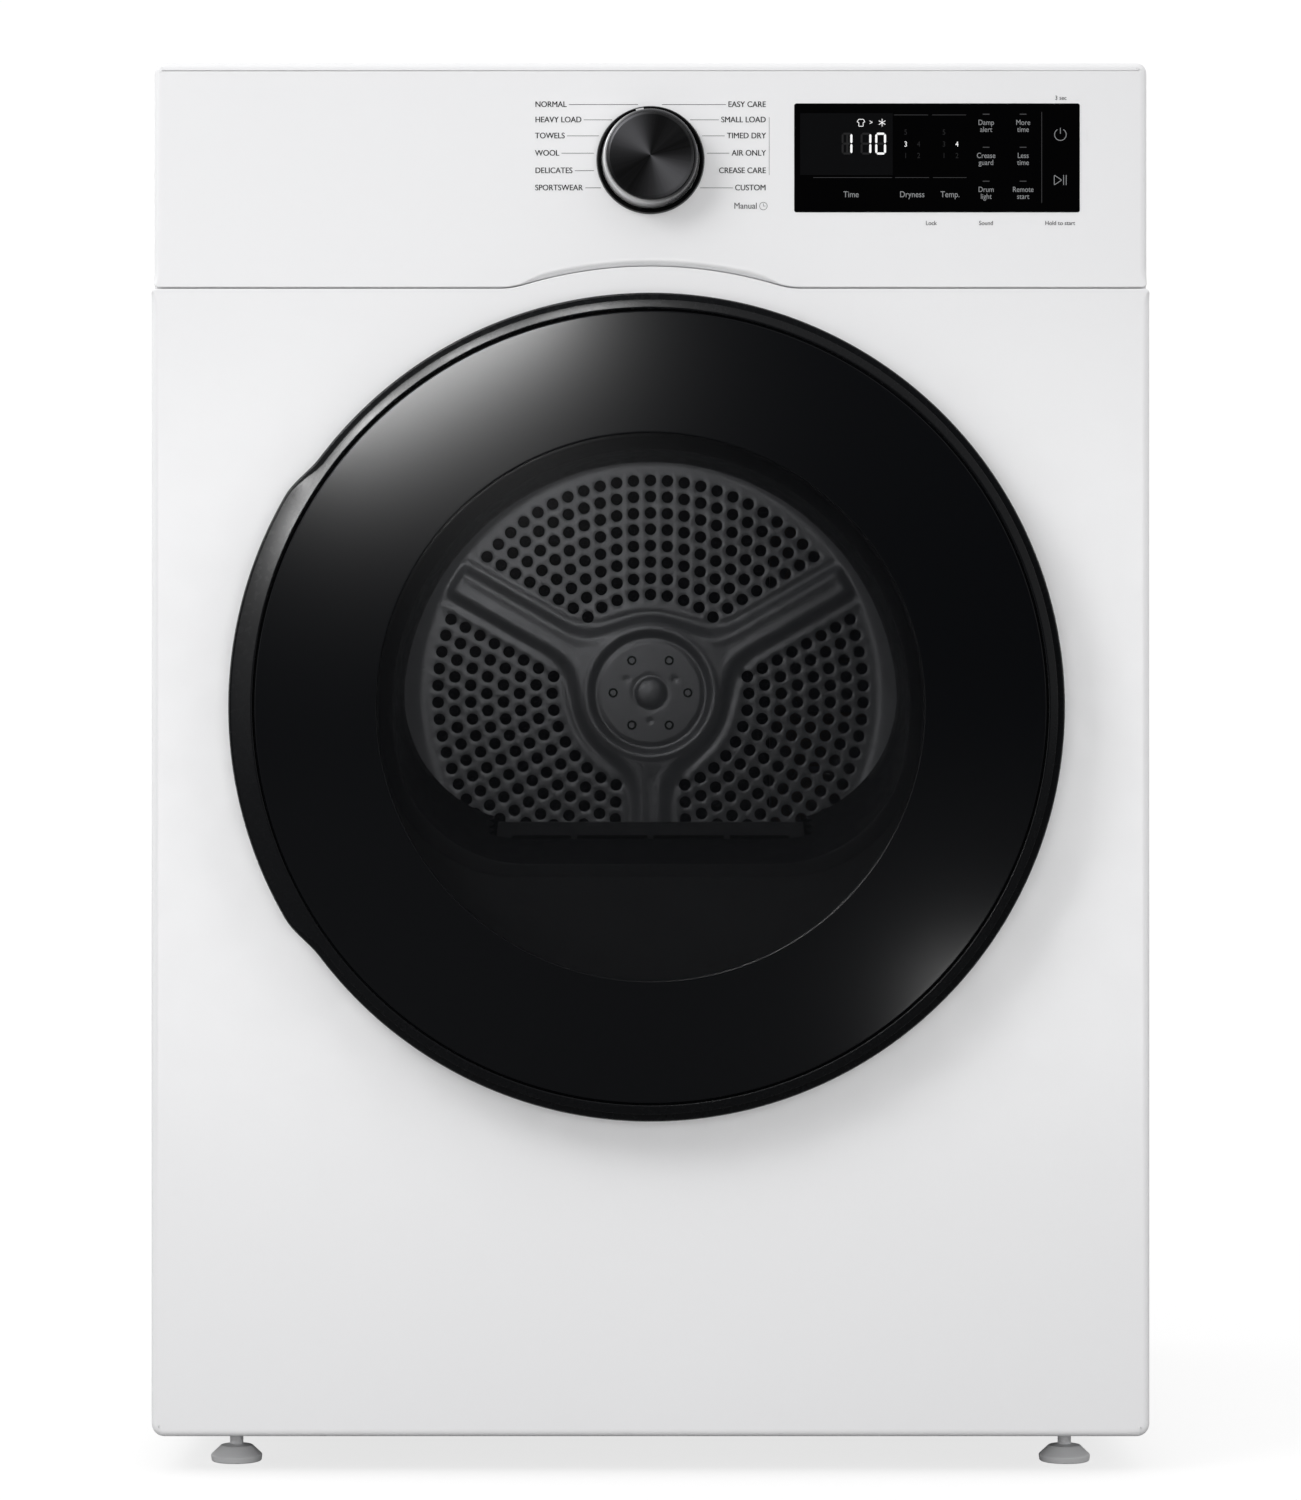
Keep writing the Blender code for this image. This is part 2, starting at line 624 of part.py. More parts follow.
def build_knob():
    rear = -0.0005
    tube("knob_ring", KNOB_SKIRT_RADIUS + 0.0004, KNOB_RING_RADIUS, 0.0, KNOB_Z, (-KNOB_RING_PROUD, rear),
         DARK_METALLIC, steps=KNOB_STEPS)
    seat = -KNOB_PROUD + 0.006
    brim = -KNOB_PROUD + 0.004
    turned("knob_skirt", [(0.0, seat), (KNOB_CAP_RADIUS + GAP, seat), (KNOB_CAP_RADIUS + GAP, brim),
                          (KNOB_SKIRT_RADIUS - 0.001, brim), (KNOB_SKIRT_RADIUS, rear),
                          (KNOB_SHAFT_RADIUS, rear), (KNOB_SHAFT_RADIUS, 0.0165), (0.0, 0.0165)],
           0.0, KNOB_Z, SILVER, steps=KNOB_STEPS)
    turned("knob_cap", [(0.0, -KNOB_PROUD), (KNOB_CAP_RADIUS - 0.0015, -KNOB_PROUD),
                        (KNOB_CAP_RADIUS, -KNOB_PROUD + 0.0015), (KNOB_CAP_RADIUS, seat - GAP), (0.0,
                                                                                                 seat - GAP)],
           0.0, KNOB_Z, BLACK_PLASTIC, steps=KNOB_STEPS)


# ---------------------------------------------------------------- door

def rim_bulge(angle):
    """Share of the handle bulge at an angle in degrees, 1 about the left side, easing to 0."""
    away = abs((angle - 180.0 + 180.0) % 360.0 - 180.0)
    step = min(max((HANDLE_HALF_ANGLE + HANDLE_BLEND_ANGLE - away) / HANDLE_BLEND_ANGLE, 0.0), 1.0)
    return step * step * (3 - 2 * step)


def rim_section(angle):
    """Section of the rim as (radius, depth) points; the handle's chamfer takes in the outer band."""
    bulge = rim_bulge(angle)
    outer = DOOR_RADIUS + HANDLE_BULGE * bulge
    lip = COVER_RADIUS + 0.001
    chamfer_outer = lip + 0.0015 + RIM_CHAMFER
    band = RIM_BAND * (1 - bulge)
    return [(RIM_INNER_RADIUS, -RIM_REAR), (outer, -RIM_REAR), (outer, -RIM_FRONT + 0.0075),
            (chamfer_outer + (outer - chamfer_outer) * bulge, -RIM_FRONT + 0.0075 - band * 0.35),
            (lip + 0.0015, -RIM_FRONT), (lip, -RIM_FRONT), (lip, -cover_seat() + GAP),
            (RIM_INNER_RADIUS, -cover_seat() + GAP)]


def cover_seat():
    """How far the back of the cover's edge stands proud."""
    return RIM_FRONT - 0.0005 - COVER_THICKNESS


def build_rim():
    steps = RIM_STEPS

    def build(bm):
        rings = []
        for i in range(steps):
            angle = 360.0 * i / steps
            across, up = math.cos(math.radians(angle)), math.sin(math.radians(angle))
            rings.append([bm.verts.new((r * across, world_y(d), DOOR_Z + r * up)) for r,
                          d in rim_section(angle)])
        corners = len(rings[0])
        for i in range(steps):
            here, there = rings[i], rings[(i + 1) % steps]
            for k in range(corners):
                m = (k + 1) % corners
                bm.faces.new((here[k], here[m], there[m], there[k]))
        bmesh.ops.recalc_face_normals(bm, faces=bm.faces)

    rim = add_part("door_rim", mesh_from(build, "door_rim"), DARK_METALLIC)
    cut(rim, *hinge_pockets("rim"))


def hinge_pockets(name):
    """Room in the door for the pin and for the arms, which pass behind it as it opens."""
    deep = -HINGE_PROUD - HINGE_BOSS_RADIUS - 0.0013
    pocket = box(f"{name}_pin_pocket", (HINGE_X + HINGE_PLATE[0], HINGE_X + HINGE_PIN_RADIUS + 0.002),
                 (deep, 0.01), around(DOOR_Z, HINGE_POCKET_HALF), cutter=True)
    slots = []
    for side in (-1, 1):
        z = DOOR_Z + side * HINGE_ARM_Z
        slots.append(box(f"{name}_arm_slot_{side}", (HINGE_X + HINGE_PLATE[0], HINGE_X + 0.04), (deep, 0.01),
                         around(z, HINGE_ARM_THICKNESS / 2 + 0.0015), cutter=True))
    return [pocket, *slots]


def build_door():
    build_rim()
    edge = RIM_FRONT - 0.0005
    crown = DOOR_PROUD - edge
    sphere = (COVER_RADIUS ** 2 + crown ** 2) / (2 * crown)
    radii = [COVER_RADIUS * i / 4 for i in range(5)]
    front = [(r, -(DOOR_PROUD - sphere + math.sqrt(sphere ** 2 - r ** 2))) for r in radii]
    back = [(r, d + COVER_THICKNESS) for r, d in reversed(front)]
    turned("door_outer_cover", front + back, 0.0, DOOR_Z, SMOKED_GLASS)

    rear, wall = -INNER_FRAME_REAR, INNER_FRAME_WALL
    outer = RIM_INNER_RADIUS - GAP
    front_edge = -cover_seat() + 0.0035
    frame = turned("door_inner_frame", [(0.120, rear), (outer, rear), (outer, front_edge),
                                        (outer - wall, front_edge), (outer - wall, rear - wall),
                                        (0.120, rear - wall)], 0.0, DOOR_Z, GREY_PLASTIC)
    opening = plate("bowl_opening", [d_ring(BOWL_RADIUS + 0.0025, BOWL_FLAT + 0.0025, D_CORNER, DOOR_Z,
                                            ROUND_STEPS)],
                    (-0.03, 0.01), cutter=True)
    cut(frame, opening, *hinge_pockets("frame"))

    seat = rear - wall - GAP
    bowl = [(seat, d_ring(BOWL_RADIUS + BOWL_FLANGE, BOWL_FLAT + BOWL_FLANGE, D_CORNER, DOOR_Z, ROUND_STEPS)),
            (seat, d_ring(BOWL_RADIUS, BOWL_FLAT, D_CORNER, DOOR_Z, ROUND_STEPS)),
            (BOWL_DEPTH - 0.012, d_ring(BOWL_END_RADIUS + 0.004, BOWL_END_FLAT + 0.004, 0.080, DOOR_Z,
                                        ROUND_STEPS)),
            (BOWL_DEPTH - 0.003, d_ring(BOWL_END_RADIUS, BOWL_END_FLAT, 0.078, DOOR_Z, ROUND_STEPS)),
            (BOWL_DEPTH, d_ring(BOWL_END_RADIUS - 0.008, BOWL_END_FLAT - 0.008, 0.072, DOOR_Z, ROUND_STEPS))]
    glass = loft("door_bowl", bowl, CLEAR_GLASS, BOWL_WALL, closed_end=True)
    glass.modifiers["sheet"].use_even_offset = False

    width, height = STRIKE_SIZE
    strike = box("door_strike", around(LATCH_X, width / 2), (rear + GAP, STRIKE_REACH),
                 around(DOOR_Z, height / 2), STEEL)
    cut(strike, box("strike_notch", around(LATCH_X, width), (STRIKE_REACH - 0.009, STRIKE_REACH - 0.004),
                    (DOOR_Z + 0.001, DOOR_Z + height), cutter=True))
    pin_half = HINGE_POCKET_HALF - GAP
    post("hinge_pin", HINGE_PIN_RADIUS, HINGE_X, -HINGE_PROUD, around(DOOR_Z, pin_half), STEEL, steps=16)


def build_door_mounts():
    """What the front panel carries for the door: its seal, hinge bracket, catch and switch."""
    tube("door_seal", DOOR_OPENING_RADIUS + 0.001, DOOR_OPENING_RADIUS + 0.001 + SEAL_WIDTH, 0.0, DOOR_Z,
         (-GAP - SEAL_THICKNESS, -GAP), BLACK_RUBBER)
    axis = HINGE_X
    plate_front = -GAP - HINGE_PLATE_THICKNESS
    bracket = box("hinge_bracket", (axis + HINGE_PLATE[0], axis + HINGE_PLATE[1]), (plate_front, -GAP),
                  around(DOOR_Z, HINGE_POCKET_HALF - 0.005), STEEL)
    for side in (-1, 1):
        z = around(DOOR_Z + side * HINGE_ARM_Z, HINGE_ARM_THICKNESS / 2)
        across = around(-HINGE_PROUD, HINGE_ARM_HALF_WIDTH)
        join(bracket,
             box(f"hinge_leg_{side}", (axis + HINGE_LEG[0], axis + HINGE_LEG[1]),
                 (across[0], plate_front + HINGE_PLATE_THICKNESS / 2), z, cutter=True),
             box(f"hinge_arm_{side}", (axis + HINGE_LEG[0] + 0.002, axis), across, z, cutter=True),
             post(f"hinge_boss_{side}", HINGE_BOSS_RADIUS, axis, -HINGE_PROUD, z, cutter=True))
    cut(bracket, post("hinge_bore", HINGE_PIN_RADIUS + GAP, axis, -HINGE_PROUD,
                      around(DOOR_Z, HINGE_POCKET_HALF + 0.01), cutter=True))

    behind = FRONT_SHEET + GAP
    room = (STRIKE_SIZE[0] / 2 + 0.005, STRIKE_SIZE[1] / 2 + 0.005)
    catch = box("door_catch", around(LATCH_X, room[0] + 0.006), (behind, STRIKE_REACH + 0.012),
                around(DOOR_Z, room[1] + 0.008), BLACK_PLASTIC)
    cut(catch, box("catch_slot", around(LATCH_X, room[0]), (-0.01, STRIKE_REACH + 0.007),
                   around(DOOR_Z, room[1]), cutter=True))
    switch_z = DOOR_Z - SWITCH_DROP
    switch = box("door_switch_body", around(SWITCH_X, 0.011), (behind, 0.028), around(switch_z, 0.011),
                 WHITE_PLASTIC)
    cut(switch, cylinder("switch_bore", PLUNGER_RADIUS + GAP, SWITCH_X, switch_z, (-0.01, 0.024),
                         cutter=True))
    cylinder("switch_plunger", PLUNGER_RADIUS, SWITCH_X, switch_z, (-PLUNGER_PROUD, 0.020), WHITE_PLASTIC,
             steps=16)


# ---------------------------------------------------------------- drum

def build_bulkhead():
    count = ROUND_STEPS
    low, high = DRUM_Z - DRUM_RADIUS + 0.02, FOOT_GAP + SEAM_HEIGHT - 0.02
    inside = HALF_WIDTH - SIDE_FLANGE - 0.002
    sections = [
        (BULKHEAD_PLATE, rectangle_ring(inside, low, high, DOOR_Z, count)),
        (BULKHEAD_PLATE, circle_ring(BULKHEAD_COLLAR, DOOR_Z, count)),
        (TUNNEL_FRONT, circle_ring(BULKHEAD_COLLAR, DOOR_Z, count)),
        (TUNNEL_FRONT, d_ring(TUNNEL_RADIUS, TUNNEL_FLAT, D_CORNER, DOOR_Z, count)),
        (TUNNEL_REAR, d_ring(TUNNEL_END_RADIUS, TUNNEL_END_FLAT, D_CORNER, DOOR_Z, count)),
        (TUNNEL_REAR, circle_ring(BULKHEAD_RING, DRUM_Z, count)),
        (TUNNEL_REAR + BULKHEAD_RING_LENGTH, circle_ring(BULKHEAD_RING, DRUM_Z, count)),
    ]
    bulkhead = loft("front_bulkhead", sections, ZINC_SHEET, BULKHEAD_SHEET)
    half = FILTER_HALF_WIDTH + FILTER_CLEARANCE
    slot = box("filter_slot", around(0.0, half), (FILTER_SPAN[0] - 0.003, FILTER_SPAN[1] + 0.003),
               (DOOR_Z - TUNNEL_FLAT - 0.01, DOOR_Z - TUNNEL_END_FLAT + 0.02), cutter=True)
    cut(bulkhead, slot)


def build_drum():
    inner = DRUM_RADIUS - DRUM_WALL
    lip = 0.003
    turned("drum_shell", [(inner, DRUM_FRONT), (DRUM_RADIUS, DRUM_FRONT), (DRUM_RADIUS, DRUM_REAR),
                          (inner - lip, DRUM_REAR), (inner - lip, DRUM_REAR - DRUM_WALL),
                          (inner, DRUM_REAR - DRUM_WALL)], 0.0, DRUM_Z, DRUM_STEEL, steps=DRUM_STEPS)
    edge = inner - GAP
    hub = DRUM_HUB_RADIUS
    turned("drum_back", [(0.0, DRUM_BACK - 0.006), (0.011, DRUM_BACK - 0.006), (0.012, DRUM_BACK - 0.002),
                         (hub, DRUM_BACK - 0.002), (hub + 0.004, DRUM_BACK + 0.002),
                         (hub + 0.014, DRUM_BACK), (edge, DRUM_BACK), (edge, DRUM_BACK + 0.008),
                         (edge - DRUM_WALL, DRUM_BACK + 0.008), (edge - DRUM_WALL, DRUM_BACK + DRUM_WALL),
                         (hub, DRUM_BACK + 0.005), (0.0, DRUM_BACK + 0.005)],
           0.0, DRUM_Z, DRUM_STEEL, steps=DRUM_STEPS)
    cylinder("drum_shaft", DRUM_SHAFT_RADIUS, 0.0, DRUM_Z, (DRUM_BACK + 0.005 + GAP, BEARING_SPAN[1]), STEEL)
    tube("drum_felt", BULKHEAD_RING + 0.0005, inner - GAP, 0.0, DRUM_Z, FELT_SPAN, FELT, steps=DRUM_STEPS)
    foot, top = BAFFLE_FOOT_DEGREES, BAFFLE_TOP_DEGREES
    for index in range(3):
        middle = 90.0 + 60.0 + 120.0 * index
        base = inner - 0.0015
        outline = arc((0.0, DRUM_Z), base, middle - foot, middle + foot, 9)
        outline += arc((0.0, DRUM_Z), base - BAFFLE_HEIGHT, middle + top, middle - top, 4)
        plate(f"drum_baffle_{index + 1}", [outline], BAFFLE_SPAN, GREY_PLASTIC)


def build_drum_supports():
    span = BEARING_SPAN
    tube("rear_bearing", DRUM_SHAFT_RADIUS + GAP, BEARING_RADIUS, 0.0, DRUM_Z, span, STEEL, steps=SMALL_STEPS)
    bore = BEARING_RADIUS + GAP
    flange_front = REAR_FRONT - 0.004
    turned("bearing_bracket", [(bore, span[0] - 0.001), (bore + 0.008, span[0] - 0.001),
                               (bore + 0.012, flange_front),
                               (0.055, flange_front), (0.055, REAR_FRONT + 0.010), (bore,
                                                                                    REAR_FRONT + 0.010)],
           0.0, DRUM_Z, ZINC_SHEET)
    reach = DRUM_RADIUS + GAP + ROLLER_RADIUS
    x = reach * math.sin(math.radians(ROLLER_ANGLE))
    z = DRUM_Z - reach * math.cos(math.radians(ROLLER_ANGLE))
    plate_rear = TUNNEL_REAR - GAP * 2
    plate_front = plate_rear - ROLLER_PLATE
    outer = HALF_WIDTH - SIDE_FLANGE - GAP - SHEET - 0.001
    for side, name in ((-1, "left"), (1, "right")):
        limits = sorted((side * (x - 0.030), side * outer))
        bracket = box(f"roller_bracket_{name}", limits, (plate_front, plate_rear),
                      (BOTTOM + SHEET + GAP, z + 0.030), ZINC_SHEET)
        join(bracket, cylinder(f"roller_axle_{name}", ROLLER_AXLE_RADIUS, side * x, z,
                               (plate_front + 0.001, ROLLER_SPAN[1] + 0.004), cutter=True))
        tube(f"drum_roller_{name}", ROLLER_AXLE_RADIUS + GAP, ROLLER_RADIUS, side * x, z, ROLLER_SPAN,
             BLACK_RUBBER, steps=SMALL_STEPS)


# ---------------------------------------------------------------- air path

def build_air_path():
    half = FILTER_HALF_WIDTH + FILTER_CLEARANCE
    duct_span = (FILTER_SPAN[0] - 0.0045, BLOWER_SPAN[0] - 0.003)
    duct_top = DOOR_Z - TUNNEL_FLAT + 0.016
    duct = tray("lint_duct", around(0.0, half + SHEET), duct_span, (DUCT_FLOOR, duct_top), (0, 0, 1), SHEET,
                GREY_PLASTIC)
    inlet = BLOWER_INLET_RADIUS
    cut(duct, cylinder("duct_outlet", inlet, MOTOR_X, MOTOR_Z, (duct_span[1] - 0.01, duct_span[1] + 0.01),
                       cutter=True))

    top = DOOR_Z - FILTER_TOP
    low = top - FILTER_LENGTH
    bars = 0.008
    lint_filter = box("lint_filter", around(0.0, FILTER_HALF_WIDTH), FILTER_SPAN, (low, top), GREY_PLASTIC)
    pocket = box("filter_pocket", around(0.0, FILTER_HALF_WIDTH - bars),
                 (FILTER_SPAN[0] + 0.002, FILTER_SPAN[1] - 0.002),
                 (low + bars, top + 0.01), cutter=True)
    cut(lint_filter, pocket)
    columns = 4
    pitch = (2 * FILTER_HALF_WIDTH - bars) / columns
    for index in range(columns):
        start = -FILTER_HALF_WIDTH + bars + pitch * index
        cut(lint_filter, box(f"filter_window_{index}", (start, start + pitch - bars),
                             (FILTER_SPAN[0] - 0.01, FILTER_SPAN[1] + 0.01),
                             (low + bars * 2, top - 0.020), cutter=True))

    radius, wall, span = BLOWER_RADIUS, BLOWER_WALL, BLOWER_SPAN
    middle = (span[0] + span[1]) / 2
    housing = cylinder("blower_housing", radius, MOTOR_X, MOTOR_Z, span, GREY_PLASTIC, steps=ROUND_STEPS)
    spout_end = MOTOR_X + radius + 0.006
    join(housing, cross_bar("spout", EXHAUST_RADIUS + wall, (MOTOR_X + 0.030, spout_end), middle))
    cut(housing,
        cylinder("blower_hollow", radius - wall, MOTOR_X, MOTOR_Z, (span[0] + wall, span[1] - wall),
                 cutter=True,
                 steps=ROUND_STEPS),
        cross_bar("spout_bore", EXHAUST_RADIUS, (MOTOR_X + 0.020, spout_end + 0.01), middle),
        cylinder("blower_inlet", inlet, MOTOR_X, MOTOR_Z, (span[0] - 0.01, span[0] + 0.01), cutter=True),
        cylinder("blower_shaft_hole", MOTOR_SHAFT_RADIUS + 0.005, MOTOR_X, MOTOR_Z,
                 (span[1] - 0.01, span[1] + 0.01), cutter=True))
    build_exhaust(spout_end + GAP, middle)
    build_heater()


def cross_bar(name, radius, x, depth):
    """Round cutter along X at the exhaust's height."""
    turn = Matrix.Translation(((x[0] + x[1]) / 2, world_y(depth), EXHAUST_Z)) @ Matrix.Rotation(math.pi / 2,
                                                                                                4, "Y")

    def build(bm):
        bmesh.ops.create_cone(bm, cap_ends=True, segments=DUCT_STEPS, radius1=radius, radius2=radius,
                              depth=x[1] - x[0], matrix=turn)
    return add_part(name, mesh_from(build, name), None, cutter=True)


def build_exhaust(start_x, start_depth):
    """Tube from the blower across, round a bend and straight back past the rear panel."""
    bend = EXHAUST_X - start_x - 0.002
    path = [(start_x, start_depth, 0.0)]
    path += [(EXHAUST_X - bend + bend * math.sin(a), start_depth + bend - bend * math.cos(a), a)
             for a in np.linspace(0.0, math.pi / 2, 9)]
    path.append((EXHAUST_X, CABINET_DEPTH + COLLAR_LENGTH, math.pi / 2))
    count = DUCT_STEPS
    around_ring = [2 * math.pi * k / count for k in range(count)]

    def build(bm):
        rings = []
        for x, depth, turned_by in path:
            side = Vector((math.sin(turned_by), -math.cos(turned_by)))
            rings.append([bm.verts.new((x + EXHAUST_RADIUS * math.cos(a) * side.x,
                                        world_y(depth) + EXHAUST_RADIUS * math.cos(a) * side.y,
                                        EXHAUST_Z + EXHAUST_RADIUS * math.sin(a))) for a in around_ring])
        for near, far in zip(rings, rings[1:]):
            for k in range(count):
                m = (k + 1) % count
                bm.faces.new((near[k], far[k], far[m], near[m]))
        bmesh.ops.recalc_face_normals(bm, faces=bm.faces)

    duct = add_part("exhaust_duct", mesh_from(build, "exhaust_duct"), ZINC_SHEET)
    sheet = duct.modifiers.new("sheet", "SOLIDIFY")
    sheet.thickness = EXHAUST_WALL
    sheet.offset = -1.0


def build_heater():
    tray("heater_duct", HEATER_X, HEATER_SPAN, HEATER_Z, (0, -1, 0), SHEET, ZINC_SHEET)
    middle = (HEATER_SPAN[0] + HEATER_SPAN[1]) / 2 - 0.004
    left, right = HEATER_X[0] + 0.025, HEATER_X[1] - 0.025
    rise = (HEATER_Z[1] - HEATER_Z[0] - 0.08) / HEATER_PASSES
    route = []
    for index in range(HEATER_PASSES):
        z = HEATER_Z[0] + 0.04 + rise * index
        ends = (left, right) if index % 2 == 0 else (right, left)
        turn_side = 1 if index % 2 == 0 else -1
        route.append((ends[0], z))
        route.append((ends[1], z))
        if index < HEATER_PASSES - 1:
            route.append((ends[1] + turn_side * rise * 0.25, z + rise / 2))
    wire("heater_coil", [(x, world_y(middle), z) for x, z in route], HEATER_WIRE, HEATER_METAL)


def wire(name, points, radius, material):
    """Round wire along a line of points, with closed ends."""
    curve = bpy.data.curves.new(name, "CURVE")
    curve.dimensions = "3D"
    curve.bevel_depth = radius
    curve.bevel_resolution = 2
    curve.use_fill_caps = True
    spline = curve.splines.new("POLY")
    spline.points.add(len(points) - 1)
    spline.points.foreach_set("co", [c for point in points for c in (*point, 1.0)])
    curve.materials.append(material)
    made = bpy.data.objects.new(name, curve)
    PARTS.objects.link(made)
    return made


# ---------------------------------------------------------------- drive

def belt_frame():
    """Centres, radii and touching angle of the belt's two circles, along its inner face."""
    drum, motor = Vector((0.0, DRUM_Z)), Vector((MOTOR_X, MOTOR_Z))
    big, small = DRUM_RADIUS + GAP, PULLEY_RADIUS + GAP
    span = motor - drum
    along = math.atan2(span.y, span.x)
    lean = math.acos((big - small) / span.length)
    return drum, motor, big, small, along, lean


def belt_outline(offset):
    drum, motor, big, small, along, lean = belt_frame()
    first, last = math.degrees(along + lean), math.degrees(along - lean)
    points = arc(drum, big + offset, first, last + 360.0, BELT_STEPS)
    return points + arc(motor, small + offset, last, first, 9)


def build_drive():
    x, z = MOTOR_X, MOTOR_Z
    motor = cylinder("motor_body", MOTOR_RADIUS, x, z, MOTOR_SPAN, ZINC_SHEET, steps=SMALL_STEPS)
    cut(motor, cylinder("motor_bore", MOTOR_SHAFT_RADIUS + GAP, x, z,
                        (MOTOR_SPAN[0] - 0.01, MOTOR_SPAN[1] + 0.01),
                        cutter=True, steps=16))
    tray("motor_mount", around(x, 0.045), (MOTOR_SPAN[0] + 0.008, MOTOR_SPAN[1] - 0.008),
         (BOTTOM + SHEET + GAP, z - MOTOR_RADIUS - GAP), (0, 0, -1), 0.002, ZINC_SHEET)
    half_belt = BELT_WIDTH / 2
    pulley_span = around(BELT_DEPTH, half_belt + 0.0035)
    cylinder("motor_shaft", MOTOR_SHAFT_RADIUS, x, z, (FAN_SPAN[0] - 0.004, pulley_span[1] + 0.003), STEEL,
             steps=16)
    bore = MOTOR_SHAFT_RADIUS + GAP
    belt_span = around(BELT_DEPTH, half_belt + 0.0015)
    flange = PULLEY_RADIUS + PULLEY_FLANGE
    turned("motor_pulley", [(bore, pulley_span[0]), (flange, pulley_span[0]), (flange, belt_span[0]),
                            (PULLEY_RADIUS, belt_span[0]), (PULLEY_RADIUS, belt_span[1]),
                            (flange, belt_span[1]), (flange, pulley_span[1]), (bore, pulley_span[1])],
           x, z, STEEL, steps=24)
    plate("belt", [belt_outline(BELT_THICKNESS), belt_outline(0.0)], around(BELT_DEPTH, half_belt),
          BLACK_RUBBER)

    vanes = []
    for index in range(FAN_VANES):
        middle = 360.0 * index / FAN_VANES
        vanes += arc((x, z), FAN_HUB_RADIUS, middle - 13.0, middle - 4.0, 2)
        vanes += arc((x, z), FAN_RADIUS, middle - 2.0, middle + 2.0, 2)
        vanes += arc((x, z), FAN_HUB_RADIUS, middle + 4.0, middle + 4.0, 1)
    plate("blower_fan", [vanes, arc((x, z), bore, 0.0, 345.0, 24)], FAN_SPAN, GREY_PLASTIC)
    build_idler()


def build_idler():
    drum, motor, big, small, along, lean = belt_frame()
    out = Vector((math.cos(along - lean), math.sin(along - lean)))
    strand = drum.lerp(motor, IDLER_PLACE) + out * (big + (small - big) * IDLER_PLACE)
    centre = strand + out * (BELT_THICKNESS + GAP + IDLER_RADIUS)
    pivot = Vector((IDLER_PIVOT[0], BOTTOM + IDLER_PIVOT[1]))
    pulley_span = around(BELT_DEPTH, BELT_WIDTH / 2 + 0.002)
    arm_span = (pulley_span[1] + GAP * 4, pulley_span[1] + GAP * 4 + IDLER_ARM_THICKNESS)
    tube("idler_pulley", IDLER_PIN_RADIUS + GAP, IDLER_RADIUS, centre.x, centre.y, pulley_span, BLACK_PLASTIC,
         steps=SMALL_STEPS)
    reach = math.degrees(math.atan2(centre.y - pivot.y, centre.x - pivot.x))
    half = IDLER_ARM_HALF_WIDTH
    outline = arc(centre, half, reach - 90.0, reach + 90.0, 9) + arc(pivot, half, reach + 90.0, reach + 270.0,
                                                                     9)
    arm = plate("idler_arm", [outline], arm_span, STEEL)
    post_front = arm_span[1] + 0.012
    join(arm,
         cylinder("idler_pin", IDLER_PIN_RADIUS, centre.x, centre.y, (pulley_span[0], arm_span[0] + 0.001),
                  cutter=True, steps=24),
         cylinder("pivot_pin", IDLER_PIN_RADIUS, pivot.x, pivot.y, (arm_span[1] - 0.001, post_front + 0.008),
                  cutter=True, steps=24))
    holder = box("idler_post", around(pivot.x, 0.012), (post_front, post_front + 0.010),
                 (BOTTOM + SHEET + GAP, pivot.y + 0.012), ZINC_SHEET)
    cut(holder, cylinder("post_bore", IDLER_PIN_RADIUS + GAP, pivot.x, pivot.y,
                         (post_front - 0.01, post_front + 0.02),
                         cutter=True, steps=24))
    coil_radius = IDLER_PIN_RADIUS + SPRING_WIRE + 0.0022
    first, last = arm_span[1] + SPRING_WIRE + GAP, post_front - SPRING_WIRE - GAP
    steps = SPRING_TURNS * 11
    route = []
    for i in range(steps + 1):
        a = 2 * math.pi * SPRING_TURNS * i / steps
        route.append((pivot.x + coil_radius * math.cos(a), world_y(first + (last - first) * i / steps),
                      pivot.y + coil_radius * math.sin(a)))
    wire("idler_spring", route, SPRING_WIRE, STEEL)


# ---------------------------------------------------------------- feet

def foot_places():
    return [(x, depth) for depth in FOOT_DEPTHS for x in (-FOOT_X, FOOT_X)]


def build_feet():
    for index, (x, depth) in enumerate(foot_places()):
        profile = [(0.0, FOOT_STEM_TOP), (FOOT_STEM_RADIUS, FOOT_STEM_TOP),
                   (FOOT_STEM_RADIUS, FOOT_PAD_HEIGHT),
                   (FOOT_PAD_RADIUS * 0.6, FOOT_PAD_HEIGHT), (FOOT_PAD_RADIUS, FOOT_PAD_HEIGHT * 0.4),
                   (FOOT_PAD_RADIUS, 0.0), (0.0, 0.0)]
        foot = turned(f"levelling_foot_{index + 1}", [(r, -h) for r, h in profile], x, 0.0, BLACK_PLASTIC,
                      steps=24)
        foot.rotation_euler = (0.0, 0.0, 0.0)
        foot.location = (x, world_y(depth), 0.0)


build_cabinet()
build_front_panel()
build_controls()
build_knob()
build_door()
build_door_mounts()
build_bulkhead()
build_drum()
build_drum_supports()
build_air_path()
build_drive()
build_feet()
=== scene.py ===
"""Visible surfaces and finishes of a front-loading clothes dryer, around its fixed frame.

Metres, +Z up, front towards -Y. "Depth" is measured backwards from the front of the cabinet,
so what stands proud of it has a negative depth.
"""

